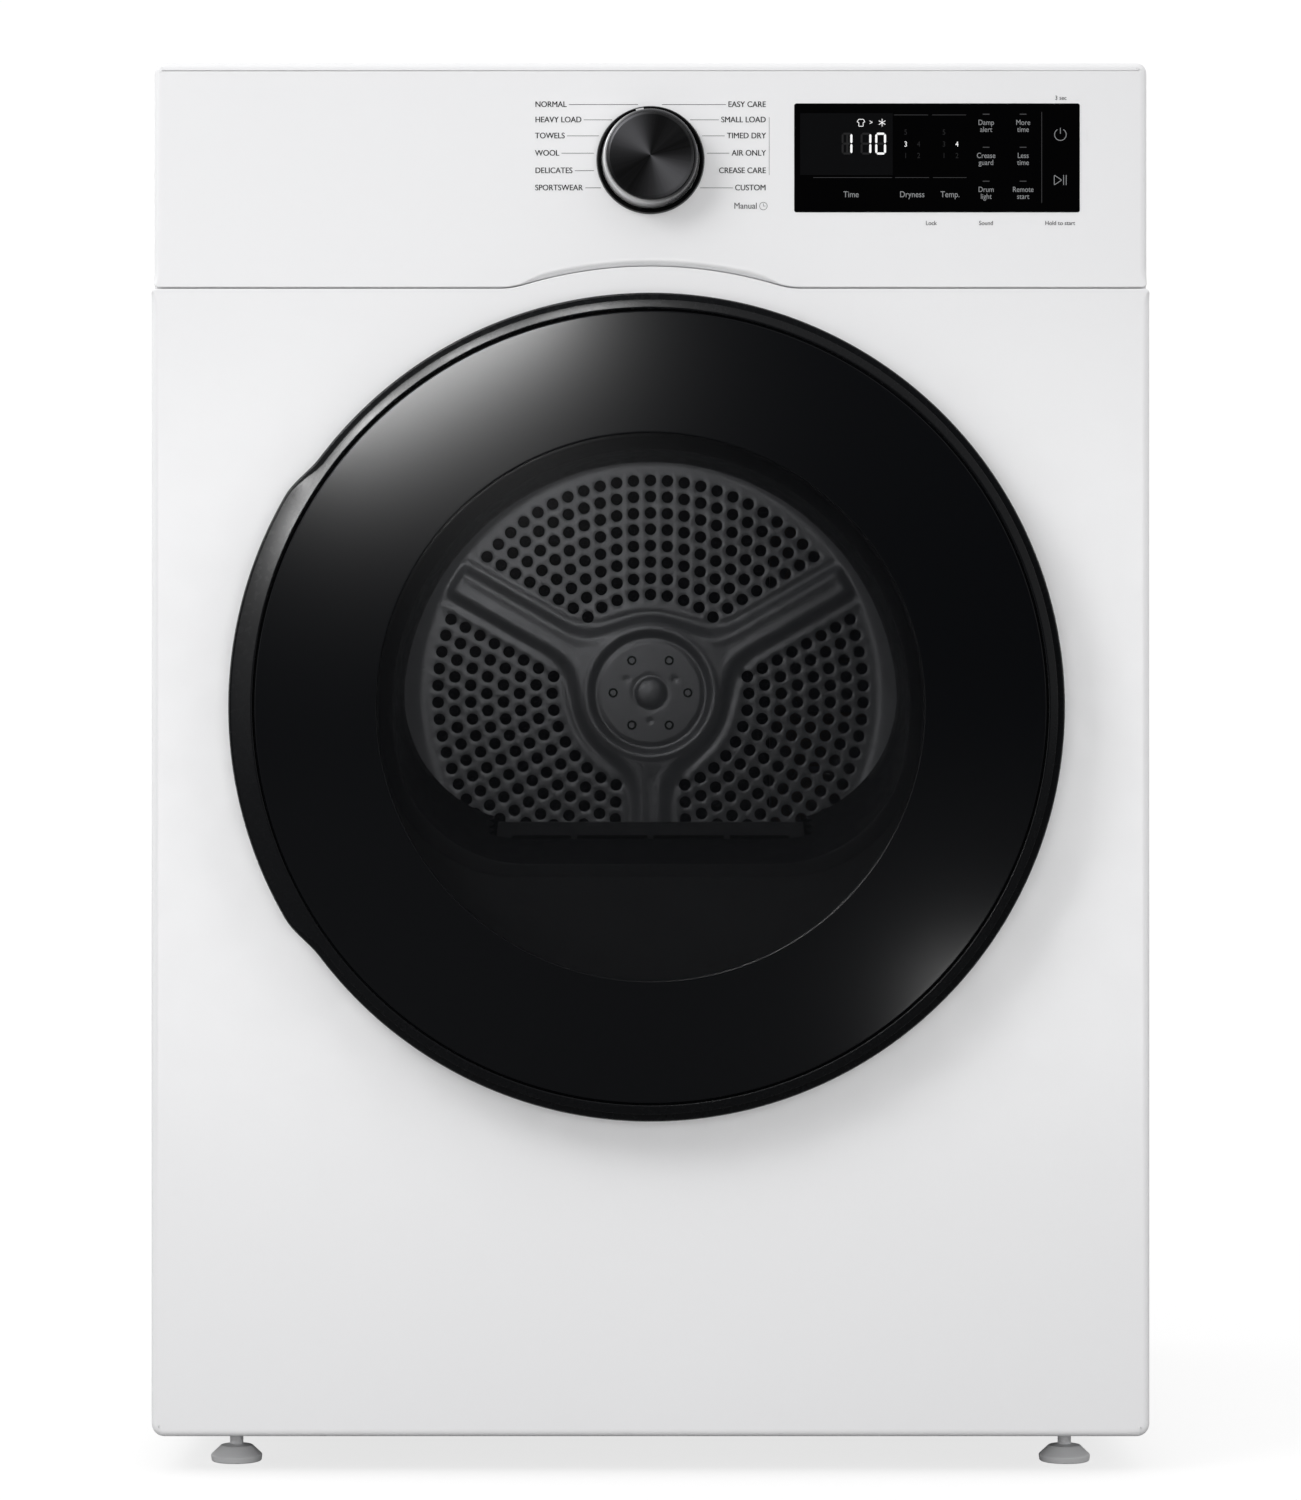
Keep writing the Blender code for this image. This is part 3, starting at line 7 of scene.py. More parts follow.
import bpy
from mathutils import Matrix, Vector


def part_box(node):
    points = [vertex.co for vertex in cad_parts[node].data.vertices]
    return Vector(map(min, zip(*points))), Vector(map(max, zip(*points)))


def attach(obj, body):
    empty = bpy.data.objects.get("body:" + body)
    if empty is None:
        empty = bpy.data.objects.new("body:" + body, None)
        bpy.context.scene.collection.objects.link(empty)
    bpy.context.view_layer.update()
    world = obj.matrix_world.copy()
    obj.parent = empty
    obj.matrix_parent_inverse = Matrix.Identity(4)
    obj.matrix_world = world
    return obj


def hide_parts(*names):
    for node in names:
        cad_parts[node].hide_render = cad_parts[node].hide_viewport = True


bl_info = {
    "name": "Clothes dryer maker",
    "version": (1, 0, 0),
    "blender": (4, 5, 0),
    "location": "View3D > Sidebar > Dryer",
    "description": "Makes the panels, door, drum, dial and display of a clothes dryer",
    "category": "Object",
}

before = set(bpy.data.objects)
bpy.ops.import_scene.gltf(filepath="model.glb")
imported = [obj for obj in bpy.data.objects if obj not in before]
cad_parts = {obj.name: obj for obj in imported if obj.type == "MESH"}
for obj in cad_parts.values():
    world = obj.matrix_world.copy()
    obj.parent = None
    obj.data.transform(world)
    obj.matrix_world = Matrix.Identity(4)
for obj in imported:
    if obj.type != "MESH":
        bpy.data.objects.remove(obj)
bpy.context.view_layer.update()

import math

import bmesh
import bpy
import numpy as np
from mathutils import Quaternion, Vector
from bpy.props import FloatProperty, FloatVectorProperty, IntProperty, PointerProperty
from bpy.types import Operator, Panel, PropertyGroup
from mathutils.geometry import delaunay_2d_cdt

MM = 0.001
TURN = 2 * math.pi
SEAM_GAP = 0.8 * MM


def low(node):
    return np.array(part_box(node)[0])


def high(node):
    return np.array(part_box(node)[1])


def middle(node):
    return (low(node) + high(node)) / 2


# Places read from the frame
FRONT_Y = float(low("front_panel")[1])
HALF_WIDTH = float(high("front_panel")[0])
BOTTOM = float(low("front_panel")[2])
TOP = float(high("control_fascia")[2])
SEAM_Z = float(low("control_fascia")[2])
FASCIA_HALF = float(high("control_fascia")[0])
RETURN_DEPTH = float(high("front_panel")[1]) - FRONT_Y
CABINET_DEPTH = float(high("rear_panel")[1]) - FRONT_Y
DOOR_Z = float(middle("door_outer_cover")[2])
DOOR_PROUD = FRONT_Y - float(low("door_outer_cover")[1])
RIM_PROUD = FRONT_Y - float(low("door_rim")[1])
RIM_REAR = FRONT_Y - float(high("door_rim")[1])
RIM_RADIUS = float(high("door_rim")[0])
HANDLE_RADIUS = -float(low("door_rim")[0])
COVER_RADIUS = float(high("door_outer_cover")[0])
KNOB_Z = float(middle("knob_ring")[2])
KNOB_PROUD = FRONT_Y - float(low("knob_cap")[1])
KNOB_RADIUS = float(high("knob_ring")[0])
GLASS_LOW, GLASS_HIGH = low("display_window"), high("display_window")
GLASS_MID = (GLASS_LOW + GLASS_HIGH) / 2
DRUM_Z = float(middle("drum_shell")[2])
DRUM_RADIUS = float(high("drum_shell")[0])
DRUM_FRONT = float(low("drum_shell")[1]) - FRONT_Y
DRUM_REAR = float(high("drum_shell")[1]) - FRONT_Y
DUCT_MID = middle("exhaust_duct")
DUCT_RADIUS = float(high("exhaust_duct")[2] - low("exhaust_duct")[2]) / 2
DUCT_X = float(high("exhaust_duct")[0]) - DUCT_RADIUS
DUCT_REAR = float(high("exhaust_duct")[1]) - FRONT_Y


# ---------------------------------------------------------------- surfaces

def quads(rows, columns, wrap_rows=False, wrap_columns=False):
    """Corner numbers of the squares between neighbouring rows and columns of a grid."""
    grid = np.arange(rows * columns).reshape(rows, columns)
    if wrap_rows:
        grid = np.vstack([grid, grid[:1]])
    if wrap_columns:
        grid = np.hstack([grid, grid[:, :1]])
    return np.stack([grid[:-1, :-1], grid[:-1, 1:], grid[1:, 1:], grid[1:, :-1]], -1).reshape(-1, 4)


def circle_points(count):
    """Points of the unit circle at equal angles."""
    angles = np.linspace(0, TURN, count, endpoint=False)
    return np.stack([np.cos(angles), np.sin(angles)], 1)


def arc(centre_x, centre_z, radius, first, last, steps):
    """Points of an arc about a centre, from one angle to another."""
    angle = np.linspace(first, last, steps)
    return np.stack([centre_x + radius * np.cos(angle), centre_z + radius * np.sin(angle)], 1)


def box_corners(lowest, highest):
    """Corners of a rectangle from its lowest and highest pair."""
    return [(lowest[0], lowest[1]), (highest[0], lowest[1]), (highest[0], highest[1]),
            (lowest[0], highest[1])]


def give_wall(piece, wall, inner_shade_finish):
    """Second skin behind the first, kept as mesh so that its edges can be marked sharp."""
    # An optional second finish goes on the inner skin; the rear sheet uses a near-black one as painted
    # shade
    if inner_shade_finish:
        piece.data.materials.append(inner_shade_finish)
    sheet = piece.modifiers.new("wall", "SOLIDIFY")
    sheet.material_offset = 1 if inner_shade_finish else 0
    sheet.thickness = wall
    sheet.offset = -1.0
    sheet.use_even_offset = False
    single = piece.data
    piece.data = bpy.data.meshes.new_from_object(piece.evaluated_get(bpy.context.evaluated_depsgraph_get()))
    piece.modifiers.clear()
    bpy.data.meshes.remove(single)
    piece.data.name = piece.name


def make_piece(name, points, faces, finish, body, replaces=(), sharp=40.0, wall=0.0, inner_shade_finish=None):
    """Mesh from points and faces, merged, with its faces outwards, riding on a body."""
    mesh = bpy.data.meshes.new(name)
    mesh.from_pydata(np.asarray(points, float).tolist(), [], [list(map(int, face)) for face in faces])
    bm = bmesh.new()
    bm.from_mesh(mesh)
    bmesh.ops.remove_doubles(bm, verts=bm.verts, dist=2e-6)
    bmesh.ops.dissolve_degenerate(bm, edges=bm.edges, dist=1e-7)
    bmesh.ops.recalc_face_normals(bm, faces=bm.faces)
    bm.to_mesh(mesh)
    bm.free()
    mesh.materials.append(finish)
    piece = bpy.data.objects.new(name, mesh)
    bpy.context.scene.collection.objects.link(piece)
    if wall:
        give_wall(piece, wall, inner_shade_finish)
    piece.data.shade_smooth()
    piece.data.set_sharp_from_angle(angle=math.radians(sharp))
    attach(piece, body)
    if replaces:
        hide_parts(*replaces)
    return piece


def rounded(corners, radii, steps=6, closed=True):
    """Corners joined by straight lines, each corner replaced by an arc that touches both lines."""
    corners = [np.array(c, float) for c in corners]
    count = len(corners)
    radii = [radii] * count if np.isscalar(radii) else list(radii)
    points = []
    for i, (corner, radius) in enumerate(zip(corners, radii)):
        if radius <= 0 or (not closed and i in (0, count - 1)):
            points.append(corner)
            continue
        before = corners[i - 1] - corner
        after = corners[(i + 1) % count] - corner
        before_length, after_length = np.linalg.norm(before), np.linalg.norm(after)
        before, after = before / before_length, after / after_length
        half = math.acos(max(-1.0, min(1.0, float(before @ after)))) / 2
        if half > math.radians(89.5):
            short = min(radius, before_length, after_length) * 0.3
            points.extend(corner + after * short * share for share in np.linspace(-1, 1, steps + 1))
            continue
        reach = min(radius / math.tan(half), before_length * 0.49, after_length * 0.49)
        bow = reach * math.tan(half)
        centre = corner + (before + after) / np.linalg.norm(before + after) * bow / math.sin(half)
        first, last = corner + before * reach - centre, corner + after * reach - centre
        start = math.atan2(first[1], first[0])
        sweep = (math.atan2(last[1], last[0]) - start + math.pi) % TURN - math.pi
        angles = start + sweep * np.linspace(0, 1, steps + 1)
        points.extend(centre + bow * np.stack([np.cos(angles), np.sin(angles)], 1))
    return np.array(points)


def turned(name, profile, finish, body, x=0.0, z=None, steps=128, closed=True, **options):
    """Profile of (radius, depth) points carried once round a line along Y through x, z."""
    z = DOOR_Z if z is None else z
    profile = np.asarray(profile)
    angles = np.linspace(0, TURN, steps, endpoint=False)
    radius, depth = profile[:, 0][None, :], profile[:, 1][None, :]
    points = np.stack([x + radius * np.cos(angles)[:, None],
                       FRONT_Y + depth + 0 * angles[:, None], z + radius * np.sin(angles)[:, None]], -1)
    faces = quads(steps, len(profile), wrap_rows=True, wrap_columns=closed)
    return make_piece(name, points.reshape(-1, 3), faces, finish, body, **options)


def spread(outline, spacing):
    """A closed outline with points added so that no gap is wider than the spacing."""
    closed = np.vstack([outline, outline[:1]])
    length = np.concatenate([[0], np.cumsum(np.hypot(*np.diff(closed, axis=0).T))])
    at = np.unique(np.round(np.concatenate([length[:-1], np.arange(0, length[-1], spacing)]), 7))
    at = at[np.concatenate([[True], np.diff(at) > spacing * 0.02])]
    return np.stack([np.interp(at, length, closed[:, 0]), np.interp(at, length, closed[:, 1])], 1)


def inward(outline):
    """Unit normals of a closed outline, pointing into it."""
    along = np.roll(outline, -1, 0) - np.roll(outline, 1, 0)
    along /= np.linalg.norm(along, axis=1)[:, None]
    x, z = outline.T
    area = np.sum(x * np.roll(z, -1) - np.roll(x, -1) * z)
    side = np.stack([-along[:, 1], along[:, 0]], 1)
    return side if area > 0 else -side


def edge_rings(outline, radius, back, steps=6):
    """Rings of (x, depth, z) that come forward from a depth and turn over a rounded edge."""
    normal = inward(outline)
    radius = np.broadcast_to(radius, len(outline))[:, None]
    rings = [(0 * radius, back + 0 * radius)]
    for angle in np.linspace(0, math.pi / 2, steps):
        rings.append((radius * (1 - math.cos(angle)), radius * (1 - math.sin(angle))))
    rings.append((radius + 0.0012, 0 * radius))
    made = []
    for inset, depth in rings:
        flat = outline + normal * inset
        made.append(np.stack([flat[:, 0], depth[:, 0], flat[:, 1]], 1))
    return made


def skin(rings, cap=True):
    """Points and faces of a skin through rings of (x, depth, z), the last one closed by a face."""
    count = len(rings[0])
    points = np.concatenate(rings) + np.array([0, FRONT_Y, 0])
    faces = quads(len(rings), count, wrap_columns=True).tolist()
    if cap:
        faces.append(list(range(len(points) - count, len(points))))
    return points, faces


def nearest_gap(points, centres):
    """Distance from each point to the closest centre, worked out in batches."""
    gaps = np.full(len(points), np.inf)
    for part in np.array_split(centres, max(len(centres) // 20, 1)):
        away = points[:, None, :] - part[None, :, :]
        gaps = np.minimum(gaps, np.hypot(*away.transpose(2, 0, 1)).min(1))
    return gaps


def triangle_net(loops, loose):
    """Flat triangles between closed loops, through loose points: (x, z) points and faces."""
    lines, start = [], 0
    for loop in loops:
        count = len(loop)
        lines += [(start + k, start + (k + 1) % count) for k in range(count)]
        start += count
    flat = np.concatenate([*loops, loose])
    out = delaunay_2d_cdt([tuple(point) for point in flat], lines, [], 1, 1e-7)
    points = np.array([tuple(point) for point in out[0]])
    return points, np.array([face for face in out[2] if len(face) == 3])


def smooth_step(low_value, high_value, value):
    share = np.clip((value - low_value) / (high_value - low_value), 0, 1)
    return share * share * (3 - 2 * share)


def box_distance(x, z, centre, half, corner):
    """Signed distance to a rectangle with round corners, negative inside it."""
    across = np.abs(x - centre[0]) - (half[0] - corner)
    up = np.abs(z - centre[1]) - (half[1] - corner)
    outside = np.hypot(np.maximum(across, 0), np.maximum(up, 0))
    return outside + np.minimum(np.maximum(across, up), 0) - corner


def d_outline(radius, flat, corner, count):
    """Round opening with a flat bottom and rounded corners, as points at equal angles.

    The corner circles touch the large circle from inside and the flat from above.
    """
    rise = corner - flat
    side = math.sqrt((radius - corner) ** 2 - rise ** 2)
    start = math.atan2(rise, side)
    floor = np.stack([np.linspace(-side, side, 81)[1:-1], np.full(79, -flat)], 1)
    points = np.concatenate([
        arc(0, 0, radius, start, math.pi - start, 241),
        arc(-side, rise, corner, math.pi - start, 1.5 * math.pi, 81), floor,
        arc(side, rise, corner, 1.5 * math.pi, TURN + start, 81)])
    angles = np.unwrap(np.arctan2(points[:, 1], points[:, 0]))
    around = np.linspace(0, TURN, count, endpoint=False)
    reach = np.interp(around, angles, np.hypot(*points.T), period=TURN)
    return np.stack([reach * np.cos(around), DOOR_Z + reach * np.sin(around)], 1)


def loft(sections, count):
    """Rings of (x, depth, z) from pairs of a depth and an outline."""
    return [np.stack([outline[:, 0], np.full(count, depth), outline[:, 1]], 1)
            for depth, outline in sections]


def joined(shapes):
    """Several (points, faces) shapes as one."""
    points, faces, start = [], [], 0
    for shape_points, shape_faces in shapes:
        points.append(np.asarray(shape_points, float))
        faces += [[int(k) + start for k in face] for face in shape_faces]
        start += len(shape_points)
    return np.concatenate(points), faces


def bar(x, z, front, thickness=0.0001):
    """Thin upright bar between two X and two Z, its face at a depth."""
    xs, zs = np.array([x[0], x[1], x[1], x[0]]), np.array([z[0], z[0], z[1], z[1]])
    points = [np.stack([xs, np.full(4, FRONT_Y + d), zs], 1) for d in (front, front + thickness)]
    faces = [[0, 1, 2, 3], [7, 6, 5, 4], [0, 4, 5, 1], [1, 5, 6, 2], [2, 6, 7, 3], [3, 7, 4, 0]]
    return np.concatenate(points), faces


def ribbon(path, width, front, closed=False, thickness=0.0001):
    """Thin flat line of a width along a path of (x, z) points."""
    path = np.asarray(path, float)
    if closed:
        along = np.roll(path, -1, 0) - np.roll(path, 1, 0)
    else:
        along = np.gradient(path, axis=0)
    along /= np.linalg.norm(along, axis=1)[:, None]
    side = np.stack([-along[:, 1], along[:, 0]], 1) * width / 2
    outer, inner = path + side, path - side
    ring = [(outer, 0.0), (inner, 0.0), (inner, thickness), (outer, thickness)]
    points = np.stack([np.stack([p[:, 0], np.full(len(p), FRONT_Y + front + d), p[:, 1]], 1)
                       for p, d in ring], 1)
    faces = quads(len(path), 4, wrap_rows=closed, wrap_columns=True).tolist()
    if not closed:
        last = 4 * (len(path) - 1)
        faces += [[3, 2, 1, 0], [last, last + 1, last + 2, last + 3]]
    return points.reshape(-1, 3), faces


def prism(outline, front, thickness):
    """Thin solid behind a convex outline of (x, z) points, its face at a depth."""
    count = len(outline)
    points = [np.stack([outline[:, 0], np.full(count, FRONT_Y + front + d), outline[:, 1]], 1)
              for d in (0.0, thickness)]
    faces = quads(2, count, wrap_columns=True).tolist()
    faces += [list(range(count)), list(range(2 * count - 1, count - 1, -1))]
    return np.concatenate(points), faces


def lettering(text, x, z, height, front, align="LEFT", width=0.94, thickness=0.00006, weight=0.0):
    """Words as a thin solid, by capital height, share of the plain face's width, and added stroke."""
    curve = bpy.data.curves.new("words", "FONT")
    curve.body = text
    curve.size = height / 0.70
    curve.align_x = align
    curve.align_y = "CENTER"
    curve.space_line = 0.93
    curve.extrude = thickness
    guide = bpy.data.objects.new("words", curve)
    bpy.context.scene.collection.objects.link(guide)
    mesh = bpy.data.meshes.new_from_object(guide.evaluated_get(bpy.context.evaluated_depsgraph_get()))
    bpy.data.objects.remove(guide)
    flat = np.empty(len(mesh.vertices) * 3)
    mesh.vertices.foreach_get("co", flat)
    flat = flat.reshape(-1, 3)
    points = np.stack([x + flat[:, 0] * width, FRONT_Y + front - flat[:, 2], z + flat[:, 1]], 1)
    faces = [list(face.vertices) for face in mesh.polygons]
    bpy.data.meshes.remove(mesh)
    if weight:
        points, faces = joined([(points - [weight / 2, 0, 0], faces),
                                (points + [weight / 2, 2e-5, 0], faces)])
    return points, faces


# ---------------------------------------------------------------- finishes

class Wire:
    """A node socket that takes part in sums, so that shader maths reads as an expression."""

    def __init__(self, finish, socket):
        self.finish = finish
        self.socket = socket

    def _with(self, operation, first, second=None):
        inputs = {0: first} if second is None else {0: first, 1: second}
        return self.finish.node("ShaderNodeMath", {"operation": operation}, inputs)

    def __add__(self, other):
        return self._with("ADD", self, other)

    def __sub__(self, other):
        return self._with("SUBTRACT", self, other)

    def __rsub__(self, other):
        return self._with("SUBTRACT", other, self)

    def __mul__(self, other):
        return self._with("MULTIPLY", self, other)

    def __truediv__(self, other):
        return self._with("DIVIDE", self, other)

    def __pow__(self, other):
        return self._with("POWER", self, other)

    def call(self, operation, other=None):
        return self._with(operation, self, other)

    __radd__, __rmul__ = __add__, __mul__


class Nodes:
    """A node tree, and one way to add any node to it."""

    def __init__(self, owner):
        owner.use_nodes = True
        self.tree = owner.node_tree

    def node(self, kind, settings=None, inputs=None, output=0):
        """A node, its settings first, then the values or wires of its sockets; gives one output."""
        made = self.tree.nodes.new(kind)
        for key, value in (settings or {}).items():
            setattr(made, key, value)
        for key, value in (inputs or {}).items():
            if isinstance(value, Wire):
                self.tree.links.new(value.socket, made.inputs[key])
            else:
                made.inputs[key].default_value = value
        return Wire(self, made.outputs[output])


class Finish(Nodes):
    """One procedural material: a Principled shader and the nodes that feed it."""

    def __init__(self, name, **values):
        self.material = bpy.data.materials.new(name)
        super().__init__(self.material)
        self.shader = self.tree.nodes["Principled BSDF"]
        self.set(**values)

    def set(self, **values):
        """Values or wires on the shader's sockets, their names with _ for a space."""
        for key, value in values.items():
            socket = self.shader.inputs[key.replace("_", " ")]
            if isinstance(value, Wire):
                self.tree.links.new(value.socket, socket)
            elif key in ("Base_Color", "Emission_Color"):
                socket.default_value = (*value, 1.0)
            else:
                socket.default_value = value
        return self

    def place(self, scale=(1, 1, 1), shift=(0, 0, 0)):
        """Object coordinates, moved so that the shift is the origin, then scaled."""
        spot = self.node("ShaderNodeTexCoord", output="Object")
        settings = {"vector_type": "POINT"}
        location = tuple(-s * k for s, k in zip(shift, scale))
        return self.node("ShaderNodeMapping", settings,
                         {"Vector": spot, "Location": location, "Scale": scale})

    def axes(self, place):
        """The three parts of a place."""
        made = self.tree.nodes.new("ShaderNodeSeparateXYZ")
        self.tree.links.new(place.socket, made.inputs[0])
        return [Wire(self, output) for output in made.outputs]

    def noise(self, scale, detail=2.0, place=None, roughness=0.5):
        inputs = {"Vector": place or self.place(), "Scale": scale, "Detail": detail, "Roughness": roughness}
        return self.node("ShaderNodeTexNoise", {"noise_dimensions": "3D"}, inputs)

    def cells(self, scale, feature="F1", output="Distance", place=None):
        inputs = {"Vector": place or self.place(), "Scale": scale}
        return self.node("ShaderNodeTexVoronoi", {"feature": feature}, inputs, output)

    def ramp(self, factor, low_value, high_value, to=(0.0, 1.0)):
        """Smooth change from one number to another as the factor goes from low to high."""
        inputs = {"Value": factor, "From Min": low_value, "From Max": high_value, "To Min": to[0],
                  "To Max": to[1]}
        return self.node("ShaderNodeMapRange", {"interpolation_type": "SMOOTHSTEP"}, inputs)

    def blend(self, factor, first, second):
        """Mix of two colours."""
        made = self.tree.nodes.new("ShaderNodeMix")
        made.data_type = "RGBA"
        for index, value in ((0, factor), (6, first), (7, second)):
            if isinstance(value, Wire):
                self.tree.links.new(value.socket, made.inputs[index])
            elif index == 0:
                made.inputs[index].default_value = value
            else:
                made.inputs[index].default_value = (*value, 1.0)
        return Wire(self, made.outputs[2])

    def bump(self, height, distance, strength=1.0):
        """Relief from a height, in metres of depth."""
        normal = self.node("ShaderNodeBump", None,
                           {"Height": height, "Distance": distance, "Strength": strength})
        return self.set(Normal=normal)


def shade(colour, amount):
    return tuple(c * amount for c in colour)


FINISHES = {}


def finish(name):
    """The finish of that name, made once."""
    if name not in FINISHES:
        FINISHES[name] = FINISH_MAKERS[name](name).material
    return FINISHES[name]


def white_enamel(name):
    """Baked white enamel on steel: faint orange peel under a gloss."""
    colour = tuple(bpy.context.scene.dryer_colours.cabinet)
    made = Finish(name, Roughness=0.34, Coat_Weight=0.25, Coat_Roughness=0.16)
    peel = made.noise(420.0, 2.0)
    broad = made.noise(5.0, 1.0)
    made.set(Base_Color=made.blend(broad, shade(colour, 0.985), colour),
             Roughness=made.ramp(made.noise(60.0, 3.0), 0.3, 0.7, (0.31, 0.37)))
    return made.bump(peel, 0.00003, 0.5)


def white_moulding(name):
    """White moulded plastic: very fine spark-eroded grain."""
    colour = tuple(bpy.context.scene.dryer_colours.cabinet)
    made = Finish(name, Roughness=0.36, Coat_Weight=0.12, Coat_Roughness=0.2)
    grain = made.noise(1500.0, 2.0)
    made.set(Base_Color=made.blend(made.noise(8.0, 1.0), shade(colour, 0.99), colour),
             Roughness=made.ramp(made.noise(90.0, 2.0), 0.3, 0.7, (0.33, 0.40)))
    return made.bump(grain, 0.00002, 0.35)


def galvanised(name):
    """Zinc-coated sheet: crystal spangle in colour and roughness, with faint rolling lines."""
    made = Finish(name, Metallic=1.0)
    crystal = made.cells(65.0, output="Color")
    share = made.node("ShaderNodeSeparateColor", None, {0: crystal})
    rolling = made.noise(30.0, 2.0, made.place((1.0, 1.0, 14.0)))
    made.set(Base_Color=made.blend(share, (0.50, 0.51, 0.53), (0.66, 0.67, 0.69)),
             Roughness=share * 0.14 + rolling * 0.10 + 0.30)
    return made.bump(rolling, 0.00004, 0.3)


def drum_steel(name):
    """Bright stainless sheet: fine cross-rolled grain and a slight haze."""
    colour = tuple(bpy.context.scene.dryer_colours.drum)
    made = Finish(name, Metallic=0.7)
    grain = made.noise(900.0, 2.0, made.place((1.0, 1.0, 0.12)))
    haze = made.noise(18.0, 3.0)
    made.set(Base_Color=made.blend(haze, shade(colour, 0.90), colour),
             Roughness=grain * 0.10 + haze * 0.12 + 0.40)
    return made.bump(grain, 0.00002, 0.3)


def machined_steel(name):
    """Zinc-plated working steel: turning lines and small stains."""
    made = Finish(name, Metallic=1.0)
    lines = made.noise(700.0, 2.0, made.place((0.1, 1.0, 0.1)))
    stain = made.noise(45.0, 4.0)
    made.set(Base_Color=made.blend(stain, (0.36, 0.36, 0.37), (0.56, 0.56, 0.58)),
             Roughness=lines * 0.12 + stain * 0.12 + 0.22)
    return made.bump(lines, 0.00003, 0.3)


def rim_metallic(name):
    """Dark metallic lacquer with fine flake."""
    colour = tuple(bpy.context.scene.dryer_colours.rim)
    made = Finish(name, Specular_IOR_Level=0.12)
    flake = made.cells(2600.0, output="Color")
    share = made.node("ShaderNodeSeparateColor", None, {0: flake})
    made.set(Base_Color=made.blend(share, shade(colour, 0.86), shade(colour, 1.12)),
             Roughness=made.ramp(made.noise(220.0, 2.0), 0.3, 0.7, (0.25, 0.28)))
    return made.bump(made.noise(900.0, 2.0), 0.00001, 0.05)


def door_glaze(name):
    """Black-printed gloss cover with a smoked clear window, told apart by the distance from its middle."""
    sizes = bpy.context.scene.dryer_sizes
    made = Finish(name, IOR=1.5, Specular_IOR_Level=0.12)
    across, _, up = made.axes(made.place(shift=(0.0, 0.0, DOOR_Z)))
    reach = (across * across + up * up).call("SQRT")
    edge = sizes.window_radius
    mask = made.ramp(reach, edge - 0.0004, edge + 0.0004)
    swirl = made.noise(3.0, 1.0)
    made.set(Base_Color=made.blend(mask, (0.0038, 0.0042, 0.0052), (0.0040, 0.0044, 0.0054)),
             Roughness=made.ramp(swirl, 0.3, 0.7, (0.175, 0.190)),
             Alpha=mask * (1.0 - sizes.smoke) + sizes.smoke)
    return made.bump(made.noise(14.0, 1.0), 0.00004, 0.15)


def bowl_glass(name):
    """Pressed clear glass: a light body, gentle waviness."""
    made = Finish(name, Base_Color=(0.02, 0.021, 0.023), IOR=1.5, Specular_IOR_Level=0.16)
    wave = made.noise(26.0, 2.0)
    made.set(Roughness=made.ramp(wave, 0.3, 0.7, (0.03, 0.07)),
             Alpha=made.ramp(made.noise(7.0, 1.0), 0.2, 0.8, (0.10, 0.13)))
    return made.bump(wave, 0.0002, 0.2)


def display_glass(name):
    """Back-printed black display glass with a slightly greyer viewing area."""
    sizes = bpy.context.scene.dryer_sizes
    made = Finish(name, IOR=1.5, Specular_IOR_Level=0.12, Coat_Weight=0.05)
    across, _, up = made.axes(made.place(shift=tuple(GLASS_MID)))
    centre_x, centre_z = sizes.viewing_area[0], sizes.viewing_area[1]
    half_x, half_z = sizes.viewing_area[2] / 2, sizes.viewing_area[3] / 2
    beside = (across - centre_x).call("ABSOLUTE") - half_x
    above = (up - centre_z).call("ABSOLUTE") - half_z
    inside = made.ramp(beside.call("MAXIMUM", above), -0.0002, 0.0002, (1.0, 0.0))
    made.set(Base_Color=made.blend(inside, (0.0012, 0.0012, 0.0014), (0.0060, 0.0062, 0.0068)),
             Roughness=made.ramp(made.noise(40.0, 2.0), 0.3, 0.7, (0.10, 0.15)))
    return made


def spun_cap(name):
    """Black anodised face turned on a lathe: fine rings, and painted highlight cones: bright sectors by
    angle in the colour that stand in for light drawn out by the turning.
    """
    made = Finish(name, Metallic=0.4, Specular_IOR_Level=0.2)
    across, _, up = made.axes(made.place(shift=(0.0, 0.0, KNOB_Z)))
    reach = (across * across + up * up).call("SQRT")
    angle = up.call("ARCTAN2", across)
    # Painted highlight: two bright sectors round the dial's middle, a fainter five-fold set and a slight
    # wobble, mixed into the colour as cones of light
    fan = ((angle * 2.0 + 1.60).call("COSINE") * 0.5 + 0.5) ** 3.0
    second = ((angle * 5.0 + 2.2).call("COSINE") * 0.5 + 0.5) ** 2.0
    circle = {"X": angle.call("COSINE"), "Y": angle.call("SINE"), "Z": 0.0}
    cone_highlight_wobble = made.noise(11.0, 1.0, made.node("ShaderNodeCombineXYZ", None, circle))
    cone = fan * 0.85 + second * 0.06 + cone_highlight_wobble * 0.08
    rings = (reach * 26000.0).call("SINE")
    made.set(Base_Color=made.blend(cone, (0.0004, 0.0004, 0.0005), (0.16, 0.16, 0.17)),
             Roughness=rings * 0.03 + 0.33)
    return made.bump(rings, 0.00001, 0.35)


